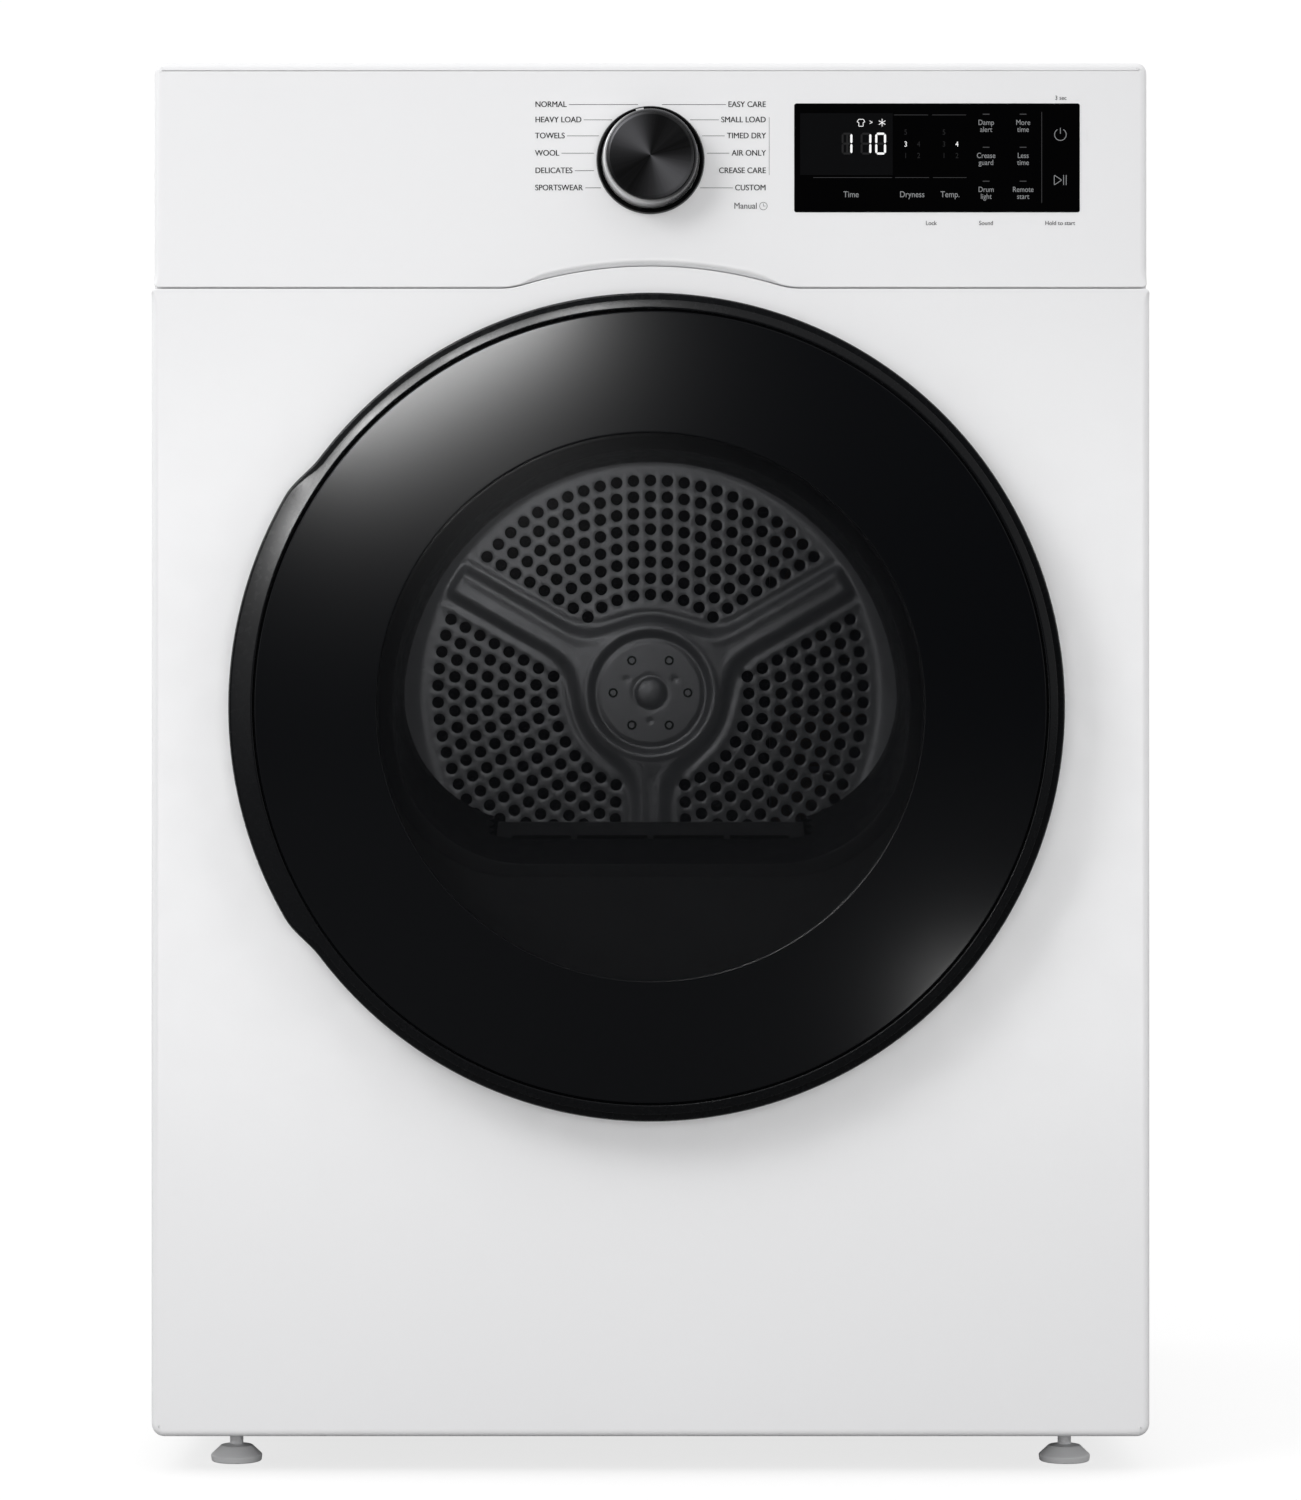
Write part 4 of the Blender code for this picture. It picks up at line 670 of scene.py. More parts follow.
def bright_silver(name):
    """Satin bright metal with fine turned lines, and a painted reflection: the colour is bright in a
    crescent towards the lower left of the dial and dark elsewhere.
    """
    made = Finish(name, Metallic=0.25)
    lines = made.noise(2200.0, 2.0, made.place((0.05, 1.0, 0.05)))
    across, _, up = made.axes(made.place(shift=(0.0, 0.0, KNOB_Z)))
    angle = up.call("ARCTAN2", across)
    # Painted reflection: a bright crescent towards the lower left, standing in for the bright surroundings
    # the polished skirt reflects
    painted_reflection_crescent = made.ramp((angle + 2.73).call("COSINE"), -0.60, 0.85)
    made.set(Base_Color=made.blend(painted_reflection_crescent * painted_reflection_crescent, (0.10, 0.10, 0.105), (0.90, 0.90, 0.91)),
             Roughness=lines * 0.04 + 0.24)
    return made.bump(lines, 0.00001, 0.05)


def gloss_black(name):
    """Piano-black moulding with faint handling haze."""
    made = Finish(name, Specular_IOR_Level=0.10)
    haze = made.noise(120.0, 3.0)
    made.set(Base_Color=made.blend(haze, (0.0012, 0.0012, 0.0014), (0.0018, 0.0018, 0.0021)),
             Roughness=made.ramp(haze, 0.3, 0.7, (0.20, 0.27)))
    return made.bump(made.noise(300.0, 2.0), 0.00001, 0.2)


def moulded(colour, grain=900.0, roughness=(0.42, 0.56)):
    """Maker of a moulded plastic: spark-eroded grain and slight tone changes."""
    def make(name):
        made = Finish(name, Specular_IOR_Level=0.4)
        made.set(Base_Color=made.blend(made.noise(14.0, 3.0), shade(colour, 0.90), shade(colour, 1.06)),
                 Roughness=made.ramp(made.noise(160.0, 2.0), 0.3, 0.7, roughness))
        return made.bump(made.noise(grain, 2.0), 0.00005, 0.45)
    return make


def soft_rubber(name):
    """Matt rubber: chalky variation and fine pores."""
    made = Finish(name, Specular_IOR_Level=0.25)
    bloom = made.noise(35.0, 4.0)
    made.set(Base_Color=made.blend(bloom, (0.018, 0.018, 0.019), (0.050, 0.050, 0.052)),
             Roughness=made.ramp(bloom, 0.3, 0.7, (0.62, 0.82)))
    return made.bump(made.cells(1100.0), 0.00008, 0.4)


def wool_felt(name):
    """Pressed wool: matted fibres and grey flecks."""
    made = Finish(name, Roughness=0.95, Sheen_Weight=0.4)
    fibre = made.noise(260.0, 5.0, made.place((1.0, 3.0, 1.0)), 0.7)
    made.set(Base_Color=made.blend(fibre, (0.30, 0.29, 0.27), (0.56, 0.54, 0.50)))
    return made.bump(fibre, 0.0006, 0.8)


def circuit_board(name):
    """Green lacquered board: copper tracks shown through as lighter straight bands."""
    made = Finish(name, Roughness=0.42)
    track = made.cells(140.0, "DISTANCE_TO_EDGE", place=made.place((1.0, 1.0, 0.45)))
    lines = made.ramp(track, 0.02, 0.05, (1.0, 0.0))
    made.set(Base_Color=made.blend(lines, (0.012, 0.095, 0.030), (0.035, 0.20, 0.070)))
    return made.bump(lines, 0.00006, 0.5)


def heater_sheath(name):
    """Heat-tinted sheath: straw and blue-brown oxide in bands."""
    made = Finish(name, Metallic=0.9)
    band = made.noise(22.0, 3.0)
    tint = made.blend(made.ramp(band, 0.35, 0.6), (0.16, 0.10, 0.065), (0.20, 0.19, 0.22))
    made.set(Base_Color=tint, Roughness=band * 0.25 + 0.35)
    return made.bump(made.noise(500.0, 2.0), 0.00005, 0.4)


def printed_ink(colour):
    """Maker of a screen-printed ink: nearly flat, with slight density changes."""
    def make(name):
        made = Finish(name, Specular_IOR_Level=0.2)
        density = made.noise(700.0, 2.0)
        made.set(Base_Color=made.blend(density, shade(colour, 0.92), shade(colour, 1.05)),
                 Roughness=made.ramp(density, 0.3, 0.7, (0.48, 0.60)))
        return made
    return make


def lit(colour, strength):
    """Maker of a lit display mark, a little brighter in its middle tones."""
    def make(name):
        made = Finish(name, Base_Color=(0.004, 0.004, 0.004), Roughness=0.5, Emission_Strength=strength,
                      Specular_IOR_Level=0.1)
        made.set(Emission_Color=made.blend(made.noise(900.0, 1.0), shade(colour, 0.94), colour))
        return made
    return make


FINISH_MAKERS = {maker.__name__: maker for maker in (
    white_enamel, white_moulding, galvanised, drum_steel, machined_steel, rim_metallic, door_glaze,
    bowl_glass, display_glass, spun_cap, bright_silver, gloss_black, soft_rubber, wool_felt,
    circuit_board, heater_sheath)}
FINISH_MAKERS.update({
    "grey_moulding": moulded((0.115, 0.118, 0.125)),
    # Near-black finish for the rear sheet's inner skin: painted shade that darkens what shows through the
    # drum's holes
    "damping_mat": moulded((0.014, 0.014, 0.015), 300.0, (0.75, 0.9)),
    "bulkhead_moulding": moulded((0.024, 0.025, 0.028), roughness=(0.34, 0.46)),
    "door_moulding": moulded((0.030, 0.031, 0.034)),
    "black_moulding": moulded((0.022, 0.022, 0.024)),
    "pale_moulding": moulded((0.62, 0.62, 0.63)),
    "foot_moulding": moulded((0.78, 0.78, 0.79)),
    "dark_ink": printed_ink((0.016, 0.016, 0.018)),
    "grey_ink": printed_ink((0.09, 0.09, 0.095)),
    "white_ink": printed_ink((0.86, 0.86, 0.86)),
    "lit_white": lit((1.0, 1.0, 1.0), 1.05),
    "lit_grey": lit((0.42, 0.43, 0.44), 0.62),
    "lit_dim": lit((0.30, 0.30, 0.31), 0.20),
    "lit_faint": lit((0.10, 0.10, 0.105), 0.14),
})

# Carried-over frame nodes and the finish each one gets
NODE_FINISHES = {
    "machined_steel": ("door_strike", "hinge_pin", "hinge_bracket", "drum_shaft", "rear_bearing",
                       "motor_shaft", "motor_pulley", "idler_arm", "idler_spring"),
    "galvanised": ("base_pan", "bearing_bracket", "roller_bracket_left", "roller_bracket_right",
                   "motor_body", "motor_mount", "idler_post"),
    "grey_moulding": ("encoder_body", "lint_duct", "blower_housing", "blower_fan"),
    "black_moulding": ("door_catch", "idler_pulley"),
    "pale_moulding": ("door_switch_body", "switch_plunger"),
    "soft_rubber": ("drum_roller_left", "drum_roller_right", "belt"),
    "circuit_board": ("control_board",),
    "wool_felt": ("drum_felt",),
    "heater_sheath": ("heater_coil", "heater_duct"),
}


# ---------------------------------------------------------------- settings

class DryerSizes(PropertyGroup):
    edge_radius: FloatProperty(name="Cabinet edge", description="Rounding of the cabinet's front edges",
                               default=4.2 * MM, unit="LENGTH")
    seam_edge: FloatProperty(name="Seam edge", description="Rounding of the edges beside the fascia's seam",
                             default=0.9 * MM, unit="LENGTH")
    arch_radius: FloatProperty(name="Arch radius", description="Radius of the seam's arch about the door",
                               default=303 * MM, unit="LENGTH")
    arch_fillet: FloatProperty(name="Arch fillet",
                               description="Radius where the arch runs into the straight seam",
                               default=57 * MM, unit="LENGTH")
    window_radius: FloatProperty(name="Window radius", description="Edge of the door's clear window",
                                 default=185.4 * MM, unit="LENGTH")
    smoke: FloatProperty(name="Smoke", description="Opacity of each face of the door's window",
                         default=0.35, subtype="FACTOR", min=0.0, max=1.0)
    opening_radius: FloatProperty(name="Door opening", description="Radius of the hole in the front panel",
                                  default=198 * MM, unit="LENGTH")
    hole_diameter: FloatProperty(name="Drum hole", description="Diameter of the holes in the drum's back",
                                 default=10.4 * MM, unit="LENGTH")
    hole_rows: IntProperty(name="Hole rows", description="Rows of holes in each sector of the drum's back",
                           default=8)
    viewing_area: FloatVectorProperty(
        name="Viewing area", description="Middle X and Z, width and height of the display's viewing area",
        size=4, default=(-62.2 * MM, 9.4 * MM, 63.6 * MM, 42.4 * MM), unit="LENGTH")


class DryerColours(PropertyGroup):
    cabinet: FloatVectorProperty(name="Cabinet", description="Colour of the cabinet's enamel and fascia",
                                 subtype="COLOR", default=(0.83, 0.83, 0.84))
    rim: FloatVectorProperty(name="Rim", description="Colour of the door's rim",
                             subtype="COLOR", default=(0.0050, 0.0054, 0.0064))
    drum: FloatVectorProperty(name="Drum", description="Colour of the drum's steel",
                              subtype="COLOR", default=(0.34, 0.345, 0.36))


# ---------------------------------------------------------------- cabinet

def seam(half_width, offset):
    """Seam from left to right: straight, a fillet, an arch about the door, a fillet, straight.

    A positive offset moves the whole line up, square to itself.
    """
    sizes = bpy.context.scene.dryer_sizes
    straight = SEAM_Z - SEAM_GAP
    big, small = sizes.arch_radius, sizes.arch_fillet
    fillet_z = straight + small
    fillet_x = math.sqrt((big + small) ** 2 - (fillet_z - DOOR_Z) ** 2)
    lean = math.atan2(fillet_x, fillet_z - DOOR_Z)
    up, down = math.pi / 2, -math.pi / 2
    return np.concatenate([
        [[-half_width, straight + offset]],
        arc(-fillet_x, fillet_z, small - offset, down, down + lean, 14),
        arc(0.0, DOOR_Z, big + offset, up + lean, up - lean, 40)[1:-1],
        arc(fillet_x, fillet_z, small - offset, down - lean, down, 14),
        [[half_width, straight + offset]]])


def with_corners(line, corners, radii, steps=10):
    """Closed outline of a line and further corners; the line's ends and the corners are rounded."""
    first, last = line[0], line[-1]
    loop = [first + (line[1] - first) * 0.5, first, *corners, last, last + (line[-2] - last) * 0.5]
    sizes = [0, radii[0], *radii[1:-1], radii[-1], 0]
    bend = rounded(loop, sizes, steps, closed=False)
    return np.concatenate([line[1:-1], bend[::-1]])


def panel_rounding(outline, seam_z, sizes, below):
    """Edge radius at each outline point: small beside the seam, full at the outer edges."""
    z = outline[:, 1]
    near = z - seam_z if below else seam_z - z
    return sizes.seam_edge + (sizes.edge_radius - sizes.seam_edge) * smooth_step(-0.001, -0.007, near)


def make_front_panel(sizes):
    """Outline carried over a rounded edge, a flat net of triangles, and the opening's rolled edge."""
    line = seam(HALF_WIDTH, 0.0)
    corners = [(-HALF_WIDTH, BOTTOM), (HALF_WIDTH, BOTTOM)]
    outline = spread(with_corners(line, corners, (3.5 * MM, 9 * MM, 9 * MM, 3.5 * MM)), 6 * MM)
    rings = edge_rings(outline, panel_rounding(outline, SEAM_Z, sizes, below=True), RETURN_DEPTH)
    border = rings[-1][:, [0, 2]]
    roll, count = 2.5 * MM, 192
    around = circle_points(count)
    middle_of_door = np.array([0.0, DOOR_Z])
    wide = sizes.opening_radius + roll + 1.5 * MM
    across, up = np.meshgrid(np.arange(-HALF_WIDTH, HALF_WIDTH, 24 * MM), np.arange(BOTTOM, TOP, 24 * MM))
    loose = np.stack([across.ravel(), up.ravel()], 1)
    clear = 12 * MM
    outside = np.hypot(*(loose - middle_of_door).T) > wide + clear
    loose = loose[(nearest_gap(loose, border) > clear) & outside]
    points, faces = triangle_net([border, middle_of_door + wide * around], loose)
    faces = faces[np.hypot(*(points[faces].mean(1) - middle_of_door).T) > wide * 0.999]
    flat = (np.stack([points[:, 0], np.full(len(points), FRONT_Y), points[:, 1]], 1), faces)
    turn = np.linspace(0, math.pi / 2, 6)
    reach = [wide, *(sizes.opening_radius + roll * (1 - np.sin(turn))), sizes.opening_radius]
    depth = [0.0, *(roll * (1 - np.cos(turn))), 9 * MM]
    inner = [(d, middle_of_door + r * around) for r, d in zip(reach, depth)]
    points, faces = joined([skin(rings, cap=False), flat, skin(loft(inner, count), cap=False)])
    make_piece("front_panel_skin", points, faces, finish("white_enamel"), "root", ["front_panel"],
               wall=1.2 * MM)


def make_fascia(sizes):
    """Outline carried over a rounded edge and closed by a flat face."""
    line = seam(FASCIA_HALF, SEAM_GAP)
    corners = [(-FASCIA_HALF, TOP), (FASCIA_HALF, TOP)]
    outline = spread(with_corners(line, corners, (3.0 * MM, 7 * MM, 7 * MM, 3.0 * MM)), 6 * MM)
    radius = panel_rounding(outline, SEAM_Z, sizes, below=False)
    points, faces = skin(edge_rings(outline, radius, RETURN_DEPTH))
    make_piece("fascia_skin", points, faces, finish("white_moulding"), "root", ["control_fascia"],
               wall=2.0 * MM)


def border_distance(first, second, lowest, highest):
    """Distance in from the nearest edge of a rectangle, at points given by two coordinates."""
    return np.minimum(np.minimum(first - lowest[0], highest[0] - first),
                      np.minimum(second - lowest[1], highest[1] - second))


def pressed_sheet(across, up, height, place, rim):
    """Sheet over a grid: heights put in place by a function, and the border folded by an offset."""
    first, second = np.meshgrid(across, up, indexing="ij")
    points = place(first, second, height(first, second)).reshape(-1, 3)
    grid = np.arange(len(points)).reshape(len(across), len(up))
    border = np.concatenate([grid[:-1, 0], grid[-1, :-1], grid[1:, -1][::-1], grid[0, 1:][::-1]])
    here = np.append(border, border[0])
    there = len(points) + np.append(np.arange(len(border)), 0)
    fold = np.stack([here[:-1], here[1:], there[1:], there[:-1]], 1)
    faces = quads(len(across), len(up)).tolist() + fold.tolist()
    return np.concatenate([points, points[border] + np.asarray(rim)]), faces


def edged(start, stop, step, radius):
    """Numbers from start to stop, crowded within the rounded edges at both ends."""
    turn = radius * (1 - np.cos(np.linspace(0, math.pi / 2, 6)))
    inner = np.linspace(start + radius, stop - radius, max(int((stop - start) / step), 2) + 1)
    return np.unique(np.concatenate([start + turn, inner, stop - turn]))


def edge_drop(distance, radius):
    """Depth of a quarter-round edge at a distance in from the edge."""
    inset = np.clip(radius - distance, 0, radius)
    return radius - np.sqrt(np.maximum(radius ** 2 - inset ** 2, 0))


def make_side(side):
    """Side sheet with two stamped fields, one above the other, that stiffen it."""
    name = "left_side_panel" if side < 0 else "right_side_panel"
    lowest, highest = low(name), high(name)
    radius = 2.0 * MM
    along = edged(lowest[1], highest[1], 12 * MM, radius)
    up = edged(lowest[2], highest[2], 12 * MM, radius)
    mid_y = (lowest[1] + highest[1]) / 2
    span_y, span_z = highest[1] - lowest[1], highest[2] - lowest[2]
    half_y, half_z, corner, press = 0.36 * span_y, 0.17 * span_z, 30 * MM, 2.5 * MM
    field_middles = [lowest[2] + share * span_z for share in (0.30, 0.72)]
    steps = np.linspace(-9 * MM, 9 * MM, 7)
    for mid_z in field_middles:
        for edge in (-half_z, half_z):
            up = np.concatenate([up, mid_z + edge + steps])
    for edge in (-half_y, half_y):
        along = np.concatenate([along, mid_y + edge + steps])
    along, up = np.unique(np.round(along, 6)), np.unique(np.round(up, 6))

    def height(y, z):
        border = border_distance(y, z, lowest[1:], highest[1:])
        stamped = 0.0
        for mid_z in field_middles:
            distance = box_distance(y, z, (mid_y, mid_z), (half_y, half_z), corner)
            stamped = stamped + press * smooth_step(5 * MM, -5 * MM, distance)
        return edge_drop(border, radius) + stamped

    points, faces = pressed_sheet(along, up, height, lambda y, z,
                                  h: np.stack([side * (HALF_WIDTH - h), y, z], -1),
                                  (-side * 15 * MM, 0, 0))
    make_piece(name + "_skin", points, faces, finish("white_enamel"), "root", [name], wall=0.8 * MM)


def make_top():
    """Top sheet: a slightly sunk field, a rolled edge and a folded rim."""
    lowest, highest = low("top_cover"), high("top_cover")
    radius = 3.0 * MM
    across, along = edged(lowest[0], highest[0], 16 * MM,
                          radius), edged(lowest[1], highest[1], 16 * MM, radius)

    def height(x, y):
        border = border_distance(x, y, lowest, highest)
        field = smooth_step(24 * MM, 44 * MM, border)
        return edge_drop(border, radius) + 1.2 * MM * field

    rim = highest[2] - lowest[2] - radius - 0.5 * MM
    points, faces = pressed_sheet(across, along, height, lambda x, y,
                                  h: np.stack([x, y, highest[2] - h], -1),
                                  (0, 0, -rim))
    make_piece("top_cover_skin", points, faces, finish("white_enamel"), "root", ["top_cover"],
               wall=0.8 * MM)


def make_rear():
    """Rear sheet: a raised field with two columns of louvres, open where the duct passes."""
    lowest, highest = low("rear_panel"), high("rear_panel")
    radius = 1.5 * MM
    across, up = edged(lowest[0], highest[0], 6 * MM, radius), edged(lowest[2], highest[2], 6 * MM, radius)
    louvres = np.linspace(0.30, 0.70, 17)
    pitch = louvres[1] - louvres[0]
    up = np.concatenate([up, *(z + np.linspace(-8 * MM, 8 * MM, 6) for z in louvres)])
    up = np.unique(np.round(up, 6))

    def height(x, z):
        border = border_distance(x, z, lowest[::2], highest[::2])
        field = box_distance(x, z, (0.0, 0.50), (0.262, 0.31), 28 * MM)
        stamped = 4 * MM * smooth_step(0.0, 7 * MM, field) * smooth_step(10 * MM, 18 * MM, border)
        phase = np.mod(z - louvres[0] + pitch / 2, pitch) / pitch
        slat = np.where(phase < 0.42, smooth_step(0.0, 0.42, phase), smooth_step(0.56, 0.42, phase))
        slope = np.zeros_like(x)
        for side in (-1, 1):
            inside = smooth_step(3 * MM, -3 * MM,
                                 box_distance(x, z, (side * 0.125, 0.5), (0.075, 0.207), 6 * MM))
            slope = slope + 3.4 * MM * slat * inside
        return edge_drop(border, radius) + 4 * MM + stamped - slope

    points, faces = pressed_sheet(across, up, height, lambda x, z, h: np.stack([x, highest[1] - h, z], -1),
                                  (0, -6 * MM, 0))
    corners = points[np.array(faces)][:, :, [0, 2]].mean(1) - np.array([DUCT_X, DUCT_MID[2]])
    keep = np.hypot(*corners.T) > DUCT_RADIUS + 3.5 * MM
    faces = [face for face, kept in zip(faces, keep) if kept]
    # Its inner skin gets a near-black finish, painted shade for the dark seen through the drum's holes
    make_piece("rear_panel_skin", points, faces, finish("galvanised"), "root", ["rear_panel"],
               wall=0.8 * MM, inner_shade_finish=finish("damping_mat"))
    ring = rounded([(DUCT_RADIUS + 1.0 * MM, CABINET_DEPTH - 9 * MM),
                    (DUCT_RADIUS + 11 * MM, CABINET_DEPTH - 9 * MM),
                    (DUCT_RADIUS + 11 * MM,
                     CABINET_DEPTH - 3.0 * MM), (DUCT_RADIUS + 1.0 * MM, CABINET_DEPTH - 0.8 * MM)],
                   (0.5 * MM, 0.5 * MM, 1.5 * MM, 0.5 * MM))
    turned("duct_flange", ring, finish("galvanised"), "root", x=DUCT_X, z=float(DUCT_MID[2]), steps=72)
    make_rear_fixings(lowest, highest)


def stud(x, z, rings, count):
    """Small solid round a line along Y, from rings of a radius and a Y, its first ring closed by a face."""
    circle = circle_points(count)
    points = [np.stack([x + reach * circle[:, 0], np.full(count, y), z + reach * circle[:, 1]], 1)
              for reach, y in rings]
    faces = quads(len(rings), count, wrap_columns=True).tolist() + [list(range(count))]
    return np.concatenate(points), faces


def screw_head(x, z, depth, radius=4.2 * MM, proud=2.4 * MM):
    """Hexagon washer head seen from behind, its flange against the sheet."""
    count = 24
    angles = np.linspace(0, TURN, count, endpoint=False)
    hexagon = math.cos(math.pi / 6) / np.cos(np.mod(angles, math.pi / 3) - math.pi / 6)
    shape = ((1.45, 0.0), (1.45, 0.25), (1.05 * hexagon, 0.35), (hexagon, 0.85), (0.88 * hexagon, 1.0),
             (0.0, 0.94))
    return stud(x, z, [(radius * r, FRONT_Y + depth + proud * h) for r, h in shape], count)


def make_rear_fixings(lowest, highest):
    """Hexagon screws round the rear sheet's border."""
    xs = np.linspace(lowest[0] + 14 * MM, highest[0] - 14 * MM, 5)
    zs = np.linspace(lowest[2] + 16 * MM, highest[2] - 16 * MM, 6)
    spots = [(x, z) for x in xs for z in (zs[0], zs[-1])]
    spots += [(x, z) for x in (xs[0], xs[-1]) for z in zs[1:-1]]
    depth = CABINET_DEPTH - 4.0 * MM
    points, faces = joined([screw_head(x, z, depth) for x, z in spots])
    make_piece("rear_screws", points, faces, finish("machined_steel"), "root", sharp=30)


def make_terminal_cover():
    """Pressed cover with rounded edges over the mains terminals, held by one screw."""
    lowest, highest = low("terminal_cover"), high("terminal_cover")
    outline = rounded(box_corners(lowest[::2], highest[::2]), 6 * MM)
    rings = edge_rings(outline, 2.5 * MM, highest[1] - lowest[1] - 0.3 * MM)
    points, faces = skin(rings)
    points[:, 1] = highest[1] - (points[:, 1] - FRONT_Y)
    make_piece("terminal_cover_skin", points, faces, finish("galvanised"), "root", ["terminal_cover"],
               wall=0.8 * MM)
    depth = float(highest[1]) - FRONT_Y
    mid_x, mid_z = (lowest[0] + highest[0]) / 2, (lowest[2] + highest[2]) / 2
    points, faces = joined([screw_head(mid_x, mid_z + 36 * MM, depth)])
    make_piece("terminal_screw", points, faces, finish("machined_steel"), "root", sharp=30)


def make_duct():
    """Exhaust tube that rides where the frame's does, its end crimped with a raised bead."""
    lowest = low("exhaust_duct")
    start = float(lowest[0])
    bend = DUCT_X - start - 2 * MM
    start_y = float(lowest[1]) + DUCT_RADIUS
    angles = np.linspace(0, math.pi / 2, 24)
    path_x = np.concatenate([[start], DUCT_X - bend + bend * np.sin(angles)])
    path_y = np.concatenate([[start_y], start_y + bend - bend * np.cos(angles)])
    heading = np.concatenate([[0.0], angles])
    end_y = FRONT_Y + DUCT_REAR
    bead = np.linspace(end_y - 22 * MM, end_y - 14 * MM, 9)
    straight = np.concatenate([np.linspace(path_y[-1], end_y - 24 * MM, 6)[1:], bead,
                               [end_y - 8 * MM, end_y]])
    path_x = np.concatenate([path_x, np.full(len(straight), DUCT_X)])
    path_y = np.concatenate([path_y, straight])
    heading = np.concatenate([heading, np.full(len(straight), math.pi / 2)])
    swell = 1.8 * MM * np.exp(-((path_y - bead.mean()) / (2.0 * MM)) ** 2) * (heading > 1.5)
    crimp = smooth_step(end_y - 26 * MM, end_y - 22 * MM, path_y)
    radius = DUCT_RADIUS - 2.0 * MM * (heading > 1.5) * crimp + swell
    turn = np.linspace(0, TURN, 64, endpoint=False)
    reach = radius[:, None] * np.cos(turn)
    points = np.stack([path_x[:, None] + reach * np.sin(heading)[:, None],
                       path_y[:, None] - reach * np.cos(heading)[:, None],
                       DUCT_MID[2] + radius[:, None] * np.sin(turn)], -1)
    faces = quads(len(path_x), 64, wrap_columns=True)
    make_piece("exhaust_duct_skin", points.reshape(-1, 3), faces, finish("galvanised"), "root",
               ["exhaust_duct"], wall=0.6 * MM)


def make_feet():
    """Levelling feet: a rounded pad that narrows into a threaded stem, turned round each foot's middle."""
    for index in range(4):
        name = f"levelling_foot_{index + 1}"
        lowest, highest = low(name), high(name)
        x, y = (lowest[0] + highest[0]) / 2, (lowest[1] + highest[1]) / 2
        radius, stem = (highest[0] - lowest[0]) / 2, 4.8 * MM
        pad = rounded([(0, 0), (radius - 0.6 * MM, 0), (radius, 4.5 * MM), (radius * 0.62, 11 * MM),
                       (stem, 12 * MM)],
                      (0, 1.2 * MM, 1.5 * MM, 2 * MM, 0), 5, closed=False)
        turns = np.arange(12 * MM, highest[2] - 1 * MM, 0.5 * MM)
        thread = np.stack([stem - 0.35 * MM * (np.arange(len(turns)) % 2), turns + 0.2 * MM], 1)
        profile = np.concatenate([pad, thread, [[stem - 1 * MM, highest[2]], [0, highest[2]]]])
        angles = np.linspace(0, TURN, 40, endpoint=False)
        points = np.stack([x + profile[:, 0] * np.cos(angles)[:, None],
                           y + profile[:, 0] * np.sin(angles)[:, None],
                           profile[:, 1] + 0 * angles[:, None]], -1)
        faces = quads(40, len(profile), wrap_rows=True)
        make_piece(name + "_skin", points.reshape(-1, 3), faces, finish("foot_moulding"),
                   f"foot_{index + 1}", [name], sharp=30)


class DRYER_OT_cabinet(Operator):
    """Front panel, side, top and rear sheets, duct and terminal cover"""
    bl_idname = "dryer.cabinet"
    bl_label = "Cabinet"

    def execute(self, context):
        make_front_panel(context.scene.dryer_sizes)
        make_side(-1)
        make_side(1)
        make_top()
        make_rear()
        make_terminal_cover()
        make_duct()
        return {"FINISHED"}


class DRYER_OT_feet(Operator):
    """Four levelling feet"""
    bl_idname = "dryer.feet"
    bl_label = "Feet"

    def execute(self, context):
        make_feet()
        return {"FINISHED"}


# ---------------------------------------------------------------- fascia

# Programme names beside the dial: words, height above the dial's middle, where the leader line ends
LEFT_WORDS = (("NORMAL", 38.2, -8.6), ("HEAVY LOAD", 27.7, -26.4), ("TOWELS", 16.7, -35.4),
              ("WOOL", 4.8, -38.8), ("DELICATES", -7.2, -38.8), ("SPORTSWEAR", -19.0, -34.0))
RIGHT_WORDS = (("EASY CARE", 38.2, 7.9), ("SMALL LOAD", 27.7, 27.1), ("TIMED DRY", 16.7, 35.4),
               ("AIR ONLY", 4.8, 38.8), ("CREASE CARE", -7.2, None), ("CUSTOM", -19.0, 34.0))
PRINT_DEPTH = -0.00012
PRINT_WEIGHT = 0.16 * MM
# Marks that show through the display glass
MARK_DEPTH = -0.00058
MARK_THICKNESS = 0.00005
MARK_STROKE = 0.45 * MM


